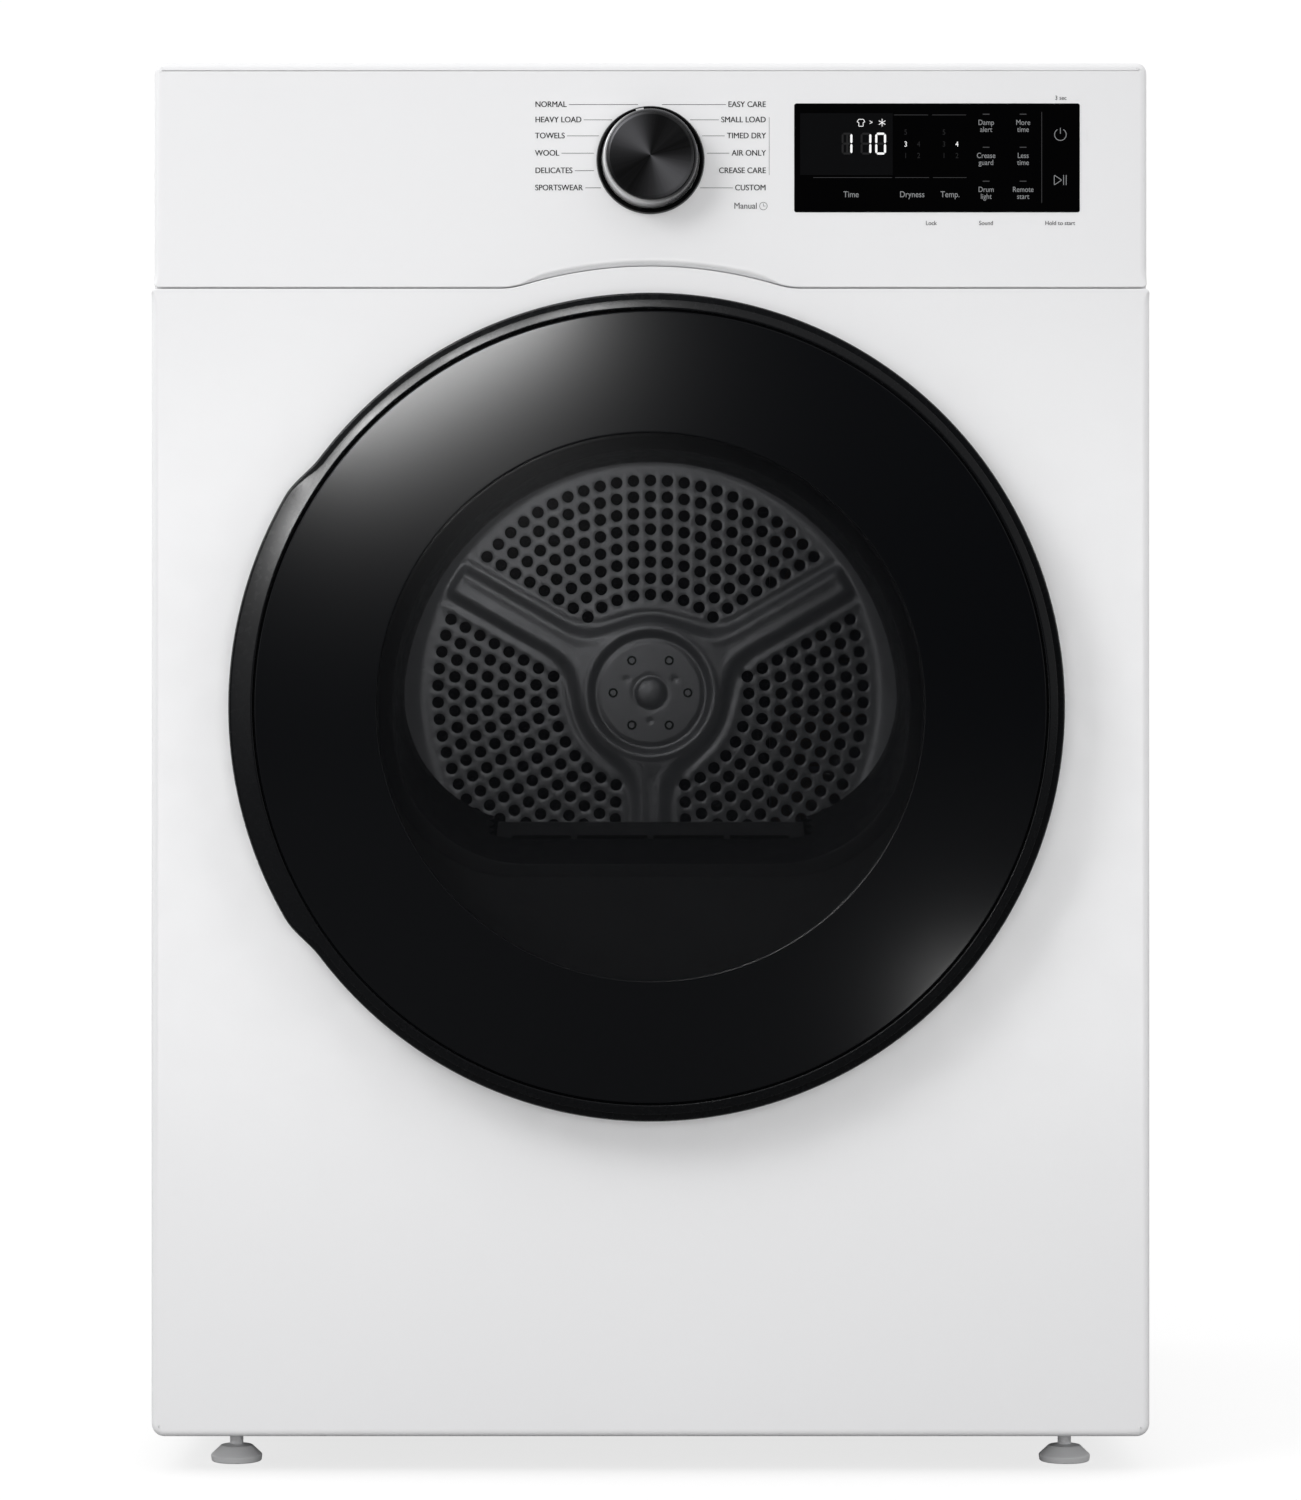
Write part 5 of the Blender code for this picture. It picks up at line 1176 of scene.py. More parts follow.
def make_print():
    """Programme names, leader lines and the small notes beside the display."""
    shapes = []
    column, capital, gap, hair = 79.3 * MM, 3.9 * MM, 1.6 * MM, 0.16 * MM
    for words, rise, line_end in LEFT_WORDS:
        z = KNOB_Z + rise * MM
        points, faces = lettering(words, -column, z, capital, PRINT_DEPTH, weight=PRINT_WEIGHT)
        shapes.append((points, faces))
        shapes.append(bar((points[:, 0].max() + gap, line_end * MM), (z - hair, z + hair), PRINT_DEPTH))
    for words, rise, line_start in RIGHT_WORDS:
        z = KNOB_Z + rise * MM
        points, faces = lettering(words, column, z, capital, PRINT_DEPTH, "RIGHT", weight=PRINT_WEIGHT)
        shapes.append((points, faces))
        if line_start:
            shapes.append(bar((line_start * MM, points[:, 0].min() - gap), (z - hair, z + hair),
                              PRINT_DEPTH))
    side = column + 2.2 * MM
    shapes.append(bar((side - hair * 0.7, side + hair * 0.7), (KNOB_Z - 10.2 * MM, KNOB_Z + 29.6 * MM),
                      PRINT_DEPTH))
    points, faces = joined(shapes)
    make_piece("programme_print", points, faces, finish("dark_ink"), "root", sharp=20)
    last_row = KNOB_Z - 31.5 * MM
    notes = [lettering("Manual", column - 6.0 * MM, last_row, 4.2 * MM, PRINT_DEPTH, "RIGHT",
                       weight=PRINT_WEIGHT / 2)]
    notes += clock_mark(column - 1.8 * MM, last_row, 2.6 * MM)
    for words, across, rise in (("Lock", -4.0, -44.9), ("Sound", 33.7, -44.9),
                                ("Hold to start", 84.5, -44.9),
                                ("3 sec", 85.0, 41.1)):
        notes.append(lettering(words, GLASS_MID[0] + across * MM, GLASS_MID[2] + rise * MM, 2.9 * MM,
                               PRINT_DEPTH, "CENTER", weight=PRINT_WEIGHT / 2))
    points, faces = joined(notes)
    make_piece("small_print", points, faces, finish("grey_ink"), "root", sharp=20)
    dots = [prism(np.array([GLASS_HIGH[0] + 5.1 * MM, GLASS_MID[2] + rise * MM])
                  + 0.45 * MM * circle_points(12),
                  -0.0003, 0.0004) for rise in (18.0, 15.5, 13.0, -19.0, -21.5)]
    points, faces = joined(dots)
    make_piece("raised_dots", points, faces, finish("white_moulding"), "root", sharp=30)


def clock_mark(x, z, radius):
    """Small clock sign: a ring and two hands."""
    ring = np.array([x, z]) + radius * circle_points(28)
    width = 0.3 * MM
    return [ribbon(ring, width, PRINT_DEPTH, closed=True),
            bar((x - width / 2, x + width / 2), (z, z + radius * 0.7), PRINT_DEPTH),
            bar((x, x + radius * 0.55), (z - width / 2, z + width / 2), PRINT_DEPTH)]


def make_glass():
    """Display glass with a fine ground edge."""
    half_x, half_z = (GLASS_HIGH[0] - GLASS_LOW[0]) / 2, (GLASS_HIGH[2] - GLASS_LOW[2]) / 2
    outline = rounded(box_corners((-half_x, -half_z), (half_x, half_z)), 1.6 * MM, 8)
    outline = outline + np.array([GLASS_MID[0], GLASS_MID[2]])
    rings = edge_rings(outline, 0.35 * MM, 1.2 * MM, 5)
    points, faces = skin(rings)
    faces.append(list(range(len(outline)))[::-1])
    points[:, 1] -= 0.5 * MM
    make_piece("display_glass", points, faces, finish("display_glass"), "root", ["display_window"])


def segments(x, z, width, height, stroke, shown):
    """Seven-segment figure: the shown bars of a, b, c, d, e, f and g, each with pointed ends."""
    half = height / 2
    upright = {"b": (x + width / 2, z + half / 2), "c": (x + width / 2, z - half / 2),
               "f": (x - width / 2, z + half / 2), "e": (x - width / 2, z - half / 2)}
    level = {"a": (x, z + half), "g": (x, z), "d": (x, z - half)}
    shapes = []
    for key, (mid_x, mid_z) in {**upright, **level}.items():
        if key not in shown:
            continue
        tall = key in upright
        reach = (half if tall else width) / 2 - stroke * 0.15
        outline = np.array([(-reach, 0), (-reach + stroke / 2, stroke / 2),
                            (reach - stroke / 2, stroke / 2), (reach, 0), (reach - stroke / 2,
                                         -stroke / 2), (-reach + stroke / 2, -stroke / 2)])
        if tall:
            outline = outline[:, ::-1]
        shapes.append(prism(outline + np.array([mid_x, mid_z]), MARK_DEPTH, MARK_THICKNESS))
    return shapes


def make_display_marks():
    """What shows through the glass: lit figures, grey captions, thin lines and faint unlit figures."""
    mid_x, mid_z = float(GLASS_MID[0]), float(GLASS_MID[2])
    bright, grey, dim, faint = [], [], [], []

    def at(across, up):
        return mid_x + across * MM, mid_z + up * MM

    def word(shapes, text, across, up, height):
        x, z = at(across, up)
        shapes.append(lettering(text, x, z, height * MM, MARK_DEPTH, "CENTER", 0.88, 0.00003))

    def line(shapes, first, last, up, half=0.12):
        x, z = at(first, up)
        shapes.append(bar((x, mid_x + last * MM), (z - half * MM, z + half * MM), MARK_DEPTH,
                          MARK_THICKNESS))

    def stroke(shapes, path, closed=False, width=MARK_STROKE):
        shapes.append(ribbon(path, width, MARK_DEPTH, closed=closed, thickness=MARK_THICKNESS))

    def upright(shapes, x, z, half_width, lowest, highest):
        shapes.append(bar((x - half_width * MM, x + half_width * MM), (z + lowest * MM, z + highest * MM),
                          MARK_DEPTH, MARK_THICKNESS))

    figures = ((-64.6, "bc"), (-61.8, "bc"), (-48.8, "bc"), (-38.7, "abcdef"))
    for place, (across, shown) in enumerate(figures):
        x, z = at(across, 9.7)
        everything = "bc" if place == 0 else "abcdefg"
        unlit = "".join(key for key in everything if place == 0 or key not in shown)
        faint += segments(x, z, 6.0 * MM, 13.6 * MM, 1.35 * MM, unlit)
        if place:
            bright += segments(x, z, 6.0 * MM, 13.6 * MM, 1.45 * MM, shown)
    word(bright, ">", -45.3, 24.1, 3.4)
    x, z = at(-37.7, 24.1)
    for angle in (0.0, math.pi / 3, -math.pi / 3):
        tip = np.array([math.sin(angle), math.cos(angle)]) * 2.6 * MM
        stroke(bright, [(x - tip[0], z - tip[1]), (x + tip[0], z + tip[1])])
    x, z = at(-52.2, 24.0)
    shirt = rounded([(x - 1.5 * MM, z - 2.4 * MM), (x + 1.5 * MM, z - 2.4 * MM),
                     (x + 1.5 * MM, z + 0.4 * MM), (x + 2.9 * MM, z + 0.4 * MM), (x + 1.6 * MM,
                                                    z + 2.4 * MM), (x - 1.6 * MM, z + 2.4 * MM),
                     (x - 2.9 * MM, z + 0.4 * MM), (x - 1.5 * MM, z + 0.4 * MM)], 0.4 * MM, 3)
    stroke(bright, shirt, True, 0.4 * MM)
    for first, last, up in ((-29.5, -6.1, 29.4), (-3.4, 20.0, 29.4), (-85.0, -30.8, -13.6),
                            (-28.8, -5.4, -13.6), (-2.7, 20.3, -13.6)):
        line(dim, first, last, up)
    for text, across in (("Time", -59.0), ("Dryness", -17.1), ("Temp.", 9.0)):
        word(grey, text, across, -25.3, 4.1)
    for column_a, column_b, lit_figure in ((-21.5, -12.6, "3"), (4.8, 13.7, "4")):
        for text, across, up in (("5", column_a, 17.4), ("3", column_a, 9.2), ("4", column_b, 9.2),
                                 ("1", column_a, 1.3), ("2", column_b, 1.3)):
            word(bright if text == lit_figure else faint, text, across, up, 3.6)
    labels = (("Damp\nalert", 33.7, 20.5), ("Crease\nguard", 33.7, -2.2), ("Drum\nlight", 33.7, -25.5),
              ("More\ntime", 59.1, 20.5), ("Less\ntime", 59.1, -2.2), ("Remote\nstart", 59.1, -25.5))
    for text, across, up in labels:
        word(grey, text, across, up + 1.2, 3.6)
        line(dim, across - 2.3, across + 2.3, up + 9.4, 0.3)
    x, z = at(71.9, 0.25)
    upright(dim, x, z, 0.14, -31.2, 31.2)
    x, z = at(84.7, 15.9)
    stroke(grey, arc(x, z, 4.0 * MM, math.radians(120), math.radians(420), 30))
    upright(grey, x, z, 0.22, 0.6, 4.6)
    x, z = at(84.7, -15.3)
    arrow = rounded([(x - 4.2 * MM, z - 3.4 * MM), (x + 0.9 * MM, z), (x - 4.2 * MM, z + 3.4 * MM)],
                    0.3 * MM, 3)
    stroke(grey, arrow, True)
    for shift in (2.2, 4.0):
        upright(grey, x + shift * MM, z, 0.22, -3.4, 3.4)
    for name, shapes, look in (("display_lit", bright, "lit_white"), ("display_captions", grey, "lit_grey"),
                               ("display_lines", dim, "lit_dim"), ("display_unlit", faint, "lit_faint")):
        points, faces = joined(shapes)
        make_piece(name, points, faces, finish(look), "root", sharp=20)


class DRYER_OT_fascia(Operator):
    """Control fascia, its print and the display"""
    bl_idname = "dryer.fascia"
    bl_label = "Fascia"

    def execute(self, context):
        make_fascia(context.scene.dryer_sizes)
        make_print()
        make_glass()
        make_display_marks()
        return {"FINISHED"}


# ---------------------------------------------------------------- dial

def make_dial():
    """Dial: a black base ring with its mark, a bright skirt with a painted reflection crescent, and a spun
    black cap with painted highlight cones.
    """
    ring_proud = FRONT_Y - float(low("knob_ring")[1])
    inner = KNOB_RADIUS - 3.6 * MM
    ring = rounded([(inner, -ring_proud), (KNOB_RADIUS - 0.8 * MM, -ring_proud), (KNOB_RADIUS, -0.5 * MM),
                    (inner, -0.5 * MM)], (0.5 * MM, 1.6 * MM, 0.2 * MM, 0.2 * MM))
    turned("dial_ring", ring, finish("gloss_black"), "knob", z=KNOB_Z, steps=160, replaces=["knob_ring"])
    skirt = inner - 0.4 * MM
    cap = float(high("knob_cap")[0])
    seat = -KNOB_PROUD + 6 * MM
    profile = rounded([(0, seat), (cap + 0.4 * MM, seat), (cap + 0.4 * MM, seat - 2.2 * MM),
                       (skirt - 1.2 * MM,
                        seat - 2.2 * MM), (skirt, -0.5 * MM), (6 * MM, -0.5 * MM), (6 * MM, 16 * MM),
                       (0, 16 * MM)], (0, 0.2 * MM, 0.3 * MM, 0.9 * MM, 0.3 * MM, 0.3 * MM, 0.3 * MM, 0))
    turned("dial_skirt", profile, finish("bright_silver"), "knob", z=KNOB_Z, steps=160, closed=False,
           replaces=["knob_skirt"])
    face = np.linspace(0, 1, 14)
    dish = np.stack([(cap - 2.0 * MM) * face, -KNOB_PROUD + 0.9 * MM * (1 - face ** 2)], 1)
    edge = rounded([(cap - 1.9 * MM, -KNOB_PROUD), (cap, -KNOB_PROUD + 1.4 * MM), (cap, seat - 0.4 * MM),
                    (0, seat - 0.4 * MM)], (0.5 * MM, 0.8 * MM, 0.3 * MM, 0), closed=False)
    turned("dial_cap", np.concatenate([dish, edge]), finish("spun_cap"), "knob", z=KNOB_Z, steps=160,
           closed=False, replaces=["knob_cap"])
    angle = math.radians(90 + 12)
    mark = KNOB_RADIUS - 2.5 * MM
    half, stroke = 2.6 * MM, 2.0 * MM
    turn_to = np.linspace(-half / mark, half / mark, 8) + angle
    path = np.stack([mark * np.cos(turn_to), KNOB_Z + mark * np.sin(turn_to)], 1)
    points, faces = ribbon(path, stroke, -ring_proud - 0.00015, thickness=0.0004)
    make_piece("dial_mark", points, faces, finish("white_ink"), "knob", sharp=20)


class DRYER_OT_dial(Operator):
    """Programme dial"""
    bl_idname = "dryer.dial"
    bl_label = "Dial"

    def execute(self, context):
        make_dial()
        return {"FINISHED"}


# ---------------------------------------------------------------- door

def make_rim():
    """Profile carried round the door; about the left side it swells into the handle's wide chamfer."""
    proud, rear = RIM_PROUD, RIM_REAR
    lip, inner = COVER_RADIUS + 1 * MM, COVER_RADIUS - 10 * MM
    seat = proud - 3.8 * MM

    def section(outer, chamfer, band):
        front = [(inner, -seat), (lip, -seat), (lip, -proud + 0.35 * MM), (lip + 0.4 * MM, -proud),
                 (lip + 1.2 * MM, -proud), (chamfer, -proud + (chamfer - lip - 1.2 * MM) * 0.42),
                 (chamfer + band * 0.1, -proud + 5.2 * MM), (outer - 0.9 * MM, -proud + 5.5 * MM),
                 (outer, -proud + 7.4 * MM), (outer,
                                              -rear - 1.2 * MM), (outer - 1.2 * MM, -rear), (inner, -rear)]
        radii = [0, 0.3 * MM, 0.2 * MM, 0.2 * MM, 0.8 * MM, 0.5 * MM, 0.4 * MM, 0.9 * MM, 1.0 * MM,
                 0.8 * MM, 0.8 * MM, 0]
        return rounded(front, radii, 5)

    plain = section(RIM_RADIUS, RIM_RADIUS - 5.2 * MM, 1.0 * MM)
    wide = section(HANDLE_RADIUS, HANDLE_RADIUS - 1.6 * MM, 0.0)
    steps = 480
    angles = np.linspace(0, TURN, steps, endpoint=False)
    away = np.abs(np.mod(angles, TURN) - math.pi)
    bulge = smooth_step(math.radians(37), math.radians(30), away)[:, None]
    radius = plain[:, 0] + (wide[:, 0] - plain[:, 0]) * bulge
    depth = plain[:, 1] + (wide[:, 1] - plain[:, 1]) * bulge
    points = np.stack([radius * np.cos(angles)[:, None], FRONT_Y + depth,
                       DOOR_Z + radius * np.sin(angles)[:, None]], -1)
    faces = quads(steps, len(plain), wrap_rows=True, wrap_columns=True)
    corner = points.reshape(-1, 3)[np.asarray(faces)].mean(1)
    pin = middle("hinge_pin")
    arm = np.abs(np.abs(corner[:, 2] - DOOR_Z) - 45 * MM) < 5.2 * MM
    slot = arm & (corner[:, 0] > pin[0] - 40 * MM) & (corner[:, 1] > pin[1] - 6.5 * MM)
    faces = faces[~slot]
    make_piece("door_rim_skin", points.reshape(-1, 3), faces, finish("rim_metallic"), "door", ["door_rim"],
               sharp=28)


def make_cover(sizes):
    """Shallow dome: part of a sphere, with a fine groove at the window's edge."""
    edge = RIM_PROUD - 0.5 * MM
    crown = DOOR_PROUD - edge
    sphere = (COVER_RADIUS ** 2 + crown ** 2) / (2 * crown)
    groove, lip_radius = sizes.window_radius, 1.6 * MM
    reach = np.concatenate([np.linspace(0, groove - 1.5 * MM, 26), groove + np.linspace(-1.2, 1.2, 13) * MM,
                            np.linspace(groove + 1.6 * MM, COVER_RADIUS - lip_radius, 22)])
    step = 0.22 * MM * smooth_step(groove - 0.5 * MM, groove + 0.5 * MM, reach)
    line = 0.28 * MM * np.exp(-((reach - groove) / (0.45 * MM)) ** 2)
    proud = DOOR_PROUD - 0.3 * MM - sphere + np.sqrt(sphere ** 2 - reach ** 2) + step - line
    front = np.stack([reach, -proud], 1)
    turn = np.linspace(0.15, 1, 6) * math.pi / 2
    last = front[-1]
    lip = np.stack([last[0] + lip_radius * np.sin(turn), last[1] + lip_radius * (1 - np.cos(turn))], 1)
    back_edge = np.array([[COVER_RADIUS, lip[-1, 1] + 0.9 * MM],
                          [COVER_RADIUS - 2.5 * MM, lip[-1, 1] + 1.0 * MM]])
    inner = np.linspace(COVER_RADIUS - 8 * MM, 0, 20)
    back = np.stack([inner, -(DOOR_PROUD - 3.2 * MM - sphere + np.sqrt(sphere ** 2 - inner ** 2))], 1)
    turned("door_cover", np.concatenate([front, lip, back_edge, back]), finish("door_glaze"), "door",
           steps=240, closed=False, replaces=["door_outer_cover"])


def make_bowl():
    """Glass bowl: a flange, then D-shaped sections that narrow to a rounded end."""
    count = 220
    seat = -6.8 * MM
    reach = float(high("door_bowl")[1]) - FRONT_Y
    corner, lip, end = 90 * MM, 4 * MM, 16 * MM
    sections = [(seat + 0.5 * MM, d_outline(186 * MM, 116 * MM, corner, count)),
                (seat, d_outline(185 * MM, 115 * MM, corner, count)),
                (seat, d_outline(179 * MM, 109 * MM, corner, count))]
    for angle in np.linspace(0, math.pi / 2, 6):
        inset, depth = lip * (1 - math.sin(angle)), lip * (1 - math.cos(angle))
        sections.append((seat + depth, d_outline(175 * MM + inset, 105 * MM + inset, corner, count)))
    for share in np.linspace(0.1, 0.9, 9):
        depth = seat + lip + (reach - 18 * MM - seat - lip) * share
        outline = d_outline((175 - 20 * share) * MM, (105 - 30 * share) * MM, (90 - 10 * share) * MM, count)
        sections.append((depth, outline))
    for angle in np.linspace(0, math.pi / 2, 8):
        inset = end * (1 - math.cos(angle))
        depth = reach - end + end * math.sin(angle)
        sections.append((depth, d_outline(154 * MM - inset, 74 * MM - inset, 80 * MM - inset, count)))
    rings = loft(sections, count)
    crown = rings[-1]
    centre = np.array([0.0, reach, DOOR_Z])
    for share in (0.7, 0.35, 0.0):
        ring = centre + (crown - centre) * share
        ring[:, 1] = reach
        rings.append(ring)
    points, faces = skin(rings, cap=False)
    make_piece("door_bowl_glass", points, faces, finish("bowl_glass"), "door", ["door_bowl"], wall=3.6 * MM)


def make_inner_frame():
    """Back of the door: a turned tray whose rear face has the D-shaped opening for the bowl."""
    count = 360
    outer = COVER_RADIUS - 10.4 * MM
    rear, front, edge = -4 * MM, -RIM_PROUD + 7.5 * MM, 4 * MM
    circle = circle_points(count)

    def round_at(radius):
        return circle * radius + np.array([0, DOOR_Z])

    sections = [(front, round_at(outer)), (rear - edge, round_at(outer))]
    for angle in np.linspace(0, math.pi / 2, 5):
        radius = outer - edge * (1 - math.cos(angle))
        sections.append((rear - edge + edge * math.sin(angle), round_at(radius)))
    for reach, depth in ((216, 0), (214, -0.8), (206, -0.8), (204, 0)):
        sections.append((rear + depth * MM, round_at(reach * MM)))
    for inset, depth in ((10, 0.0), (3.2, 0.0), (2.4, -0.4), (2.2, -1.4)):
        sections.append((rear + depth * MM,
                         d_outline((175 + inset) * MM, (105 + inset) * MM, 90 * MM, count)))
    points, faces = skin(loft(sections, count), cap=False)
    faces = np.array(faces)
    corner = points[faces].mean(1)
    pin = middle("hinge_pin")
    pocket = ((corner[:, 0] > pin[0] - 46 * MM) & (corner[:, 1] > pin[1] - 7.5 * MM)
              & (np.abs(corner[:, 2] - DOOR_Z) < 60 * MM))
    faces = faces[~pocket]
    make_piece("door_inner_skin", points, faces, finish("door_moulding"), "door", ["door_inner_frame"],
               wall=2.2 * MM, sharp=35)


def make_seal():
    """Door seal: a soft bulb with a lip."""
    radius = float(high("door_seal")[0])
    back = float(high("door_seal")[1]) - FRONT_Y
    front = float(low("door_seal")[1]) - FRONT_Y
    profile = rounded([(radius - 11 * MM, back), (radius - 10.6 * MM, front + 1.2 * MM),
                       (radius - 8 * MM, front),
                       (radius - 5.2 * MM, front + 1.6 * MM), (radius - 2.2 * MM, front + 0.9 * MM),
                       (radius, back - 0.8 * MM), (radius, back)],
                      (0.3 * MM, 0.8 * MM, 1.4 * MM, 1.0 * MM, 0.9 * MM, 0.4 * MM, 0.1 * MM), 6)
    turned("door_seal_skin", profile, finish("soft_rubber"), "root", steps=200, replaces=["door_seal"])


class DRYER_OT_door(Operator):
    """Door rim with its handle, cover, glass bowl, inner frame and seal"""
    bl_idname = "dryer.door"
    bl_label = "Door"

    def execute(self, context):
        make_rim()
        make_cover(context.scene.dryer_sizes)
        make_bowl()
        make_inner_frame()
        make_seal()
        return {"FINISHED"}


# ---------------------------------------------------------------- drum

SPOKES = (math.radians(30), math.radians(150), math.radians(270))
DRUM_BACK_Y = float(low("drum_back")[1]) + 6 * MM + 8 * MM


def soft_minimum(first, second, blend):
    """Smaller of two distances, blended over a width where they are close."""
    share = np.clip(0.5 + 0.5 * (second - first) / blend, 0, 1)
    return second + (first - second) * share - blend * share * (1 - share)


def drum_relief(x, z):
    """How far the drum's back is pressed towards the front at each point.

    A raised body of three spokes and a hub ring, a groove and a small ridge beside it, a sunk
    hub plate with a domed middle, and a cone that rises to a flat border.
    """
    reach, angle = np.hypot(x, z), np.arctan2(z, x)
    body = reach - 60 * MM
    for spoke in SPOKES:
        off = np.abs(reach * np.sin(angle - spoke))
        ahead = reach * np.cos(angle - spoke)
        strip = np.where(ahead > 0, np.maximum(off - 11 * MM, ahead - 186 * MM), reach)
        body = soft_minimum(body, strip, 30 * MM)
    raised = 5.5 * MM * smooth_step(5.0 * MM, -4.0 * MM, body)
    spine = -1.1 * MM * smooth_step(-4 * MM, -9 * MM, body) * smooth_step(58 * MM, 74 * MM, reach)
    groove = -0.5 * MM * np.exp(-((body - 7.0 * MM) / (2.2 * MM)) ** 2)
    ridge = 0.9 * MM * np.exp(-((body - 11.0 * MM) / (2.4 * MM)) ** 2)
    fade = smooth_step(190 * MM, 182 * MM, reach)
    plate = -4.2 * MM * smooth_step(51 * MM, 46 * MM,
                                    reach) + 1.1 * MM * np.exp(-((reach - 53 * MM) / (2 * MM)) ** 2)
    inner_step = 1.0 * MM * smooth_step(43 * MM, 42 * MM, reach)
    dome = 3.2 * MM * np.sqrt(np.clip(1 - (reach / (12.5 * MM)) ** 2, 0, 1)) * (reach < 12.5 * MM)
    collar = -0.8 * MM * np.exp(-((reach - 14 * MM) / (1.3 * MM)) ** 2)
    dimples = 0.0
    for spoke in SPOKES:
        away = np.hypot(x - 23 * MM * math.cos(spoke), z - 23 * MM * math.sin(spoke))
        dimples = dimples - 1.6 * MM * np.exp(-(away / (1.7 * MM)) ** 2)
    cone = 16 * MM * smooth_step(186 * MM, 214 * MM, reach)
    border = -5 * MM * smooth_step(262 * MM, 300 * MM, reach)
    pressed = (raised + spine + groove + ridge) * fade
    return pressed + plate + inner_step + dome + collar + dimples + cone + border


def hole_centres(sizes):
    """Middles of the holes: rows on arcs in each sector, evenly pitched, one on the sector's middle."""
    outer, row_pitch, pitch = 175.6 * MM, 13.5 * MM, 14.0 * MM
    spots = []
    for row in range(sizes.hole_rows):
        radius = outer - row_pitch * row
        reach = 11 - row
        along = np.arange(-reach, reach + 1) * pitch / radius
        for spoke in SPOKES:
            angle = along + spoke + math.pi / 3
            spots.append(np.stack([radius * np.cos(angle), radius * np.sin(angle)], 1))
    return np.concatenate(spots)


def make_drum_back(sizes):
    """Perforated sheet: its holes are outlines in a flat triangle net, pressed by the relief."""
    centres = hole_centres(sizes)
    radius, collar = sizes.hole_diameter / 2, 0.9 * MM
    rim = circle_points(14)
    holes = (centres[:, None, :] + radius * rim).reshape(-1, 2)
    collars = (centres[:, None, :] + (radius + collar) * rim).reshape(-1, 2)
    edge_radius = DRUM_RADIUS - 2.2 * MM
    net = []
    for start, stop, step in ((0.0, 0.070, 0.0019), (0.070, 0.192, 0.0030), (0.192, 0.218, 0.004),
                              (0.222, edge_radius - 0.004, 0.010)):
        for reach in np.arange(start, stop, step):
            turn_by = np.arange(max(int(TURN * reach / step), 1)) * step / max(reach, step) + reach * 40.0
            net.append(np.stack([reach * np.cos(turn_by), reach * np.sin(turn_by)], 1))
    net = np.concatenate(net)
    net = net[nearest_gap(net, centres) > radius + 1.7 * MM]
    edge = edge_radius * circle_points(180)
    points, faces = triangle_net([edge, *np.split(holes, len(centres))], np.concatenate([collars, net]))
    faces = faces[nearest_gap(points[faces].mean(1), centres) > radius * 0.97]
    relief = drum_relief(points[:, 0], points[:, 1])
    relief = relief - 0.35 * MM * smooth_step(radius + collar, radius, nearest_gap(points, centres))
    shape = np.stack([points[:, 0], DRUM_BACK_Y - relief, DRUM_Z + points[:, 1]], 1)
    make_piece("drum_back_sheet", shape, faces, finish("drum_steel"), "drum", ["drum_back"], sharp=60,
               wall=0.8 * MM)


def make_hub_bolts():
    """Six socket bolts on the hub plate."""
    pitch_radius = 30.8 * MM
    seat = DRUM_BACK_Y - float(drum_relief(np.array([pitch_radius]), np.array([0.0]))[0])
    shape = ((4.4, 1.0), (4.4, -0.3), (3.9, -0.9), (2.3, -0.9), (2.1, 0.7), (0.0, 0.7))
    rings = [(r * MM, seat + d * MM) for r, d in shape]
    turns = [math.radians(60 * index) for index in range(6)]
    points, faces = joined([stud(pitch_radius * math.cos(turn), DRUM_Z + pitch_radius * math.sin(turn),
                                 rings, 18)
                            for turn in turns])
    make_piece("hub_bolts", points, faces, finish("black_moulding"), "drum", sharp=30)


def make_drum_shell():
    """Rolled drum: two pairs of beads pressed round it, and a rolled front edge."""
    inner = DRUM_RADIUS - 1.5 * MM
    along = np.linspace(DRUM_FRONT + 1 * MM, DRUM_REAR - 1 * MM, 90)
    bead = sum(1.0 * MM * np.exp(-((along - spot) / (5 * MM)) ** 2) for spot in (0.20, 0.25, 0.48, 0.53))
    front = [(inner - 1.2 * MM, DRUM_FRONT + 3 * MM), (inner - 0.6 * MM, DRUM_FRONT + 0.6 * MM),
             (inner + 0.4 * MM, DRUM_FRONT + 0.2 * MM)]
    surface = np.stack([inner + 0.9 * MM - bead, along], 1)
    turned("drum_shell_sheet", np.concatenate([front, surface]), finish("drum_steel"), "drum", z=DRUM_Z,
           steps=200, closed=False, replaces=["drum_shell"], wall=0.8 * MM, sharp=50)


def make_baffles():
    """Lifting fins: soft, finely rippled ridges on the drum wall that fall at both ends."""
    inner = DRUM_RADIUS - 2.4 * MM
    for index in range(3):
        name = f"drum_baffle_{index + 1}"
        centre = math.radians(150 + 120 * index)
        lowest, highest = low(name), high(name)
        along = np.linspace(0, 1, 48)
        across = np.linspace(-1, 1, 41)
        end = np.clip(np.minimum(along, 1 - along) / 0.12, 0, 1)
        rise = 54 * MM * np.sqrt(1 - (1 - end) ** 2 + 1e-9)
        foot = math.radians(8.6) * (0.78 + 0.22 * np.sqrt(1 - (1 - end) ** 2 + 1e-9))
        shape = (0.5 + 0.5 * np.cos(math.pi * np.clip(np.abs(across), 0, 1))) ** 0.85
        radius = inner - rise[:, None] * shape[None, :]
        angle = centre + foot[:, None] * np.sign(across) * np.abs(across) ** 1.25
        y = lowest[1] + (highest[1] - lowest[1]) * along
        wave = 0.9 * MM * np.cos(along * math.pi * 28)[:, None] * shape[None, :] ** 2
        points = np.stack([(radius + wave) * np.cos(angle), y[:, None] + 0 * angle,
                           DRUM_Z + (radius + wave) * np.sin(angle)], -1)
        faces = quads(len(along), len(across)).tolist()
        make_piece(name + "_fin", points.reshape(-1, 3), faces, finish("grey_moulding"), "drum", [name],
                   wall=-2.0 * MM, sharp=60)


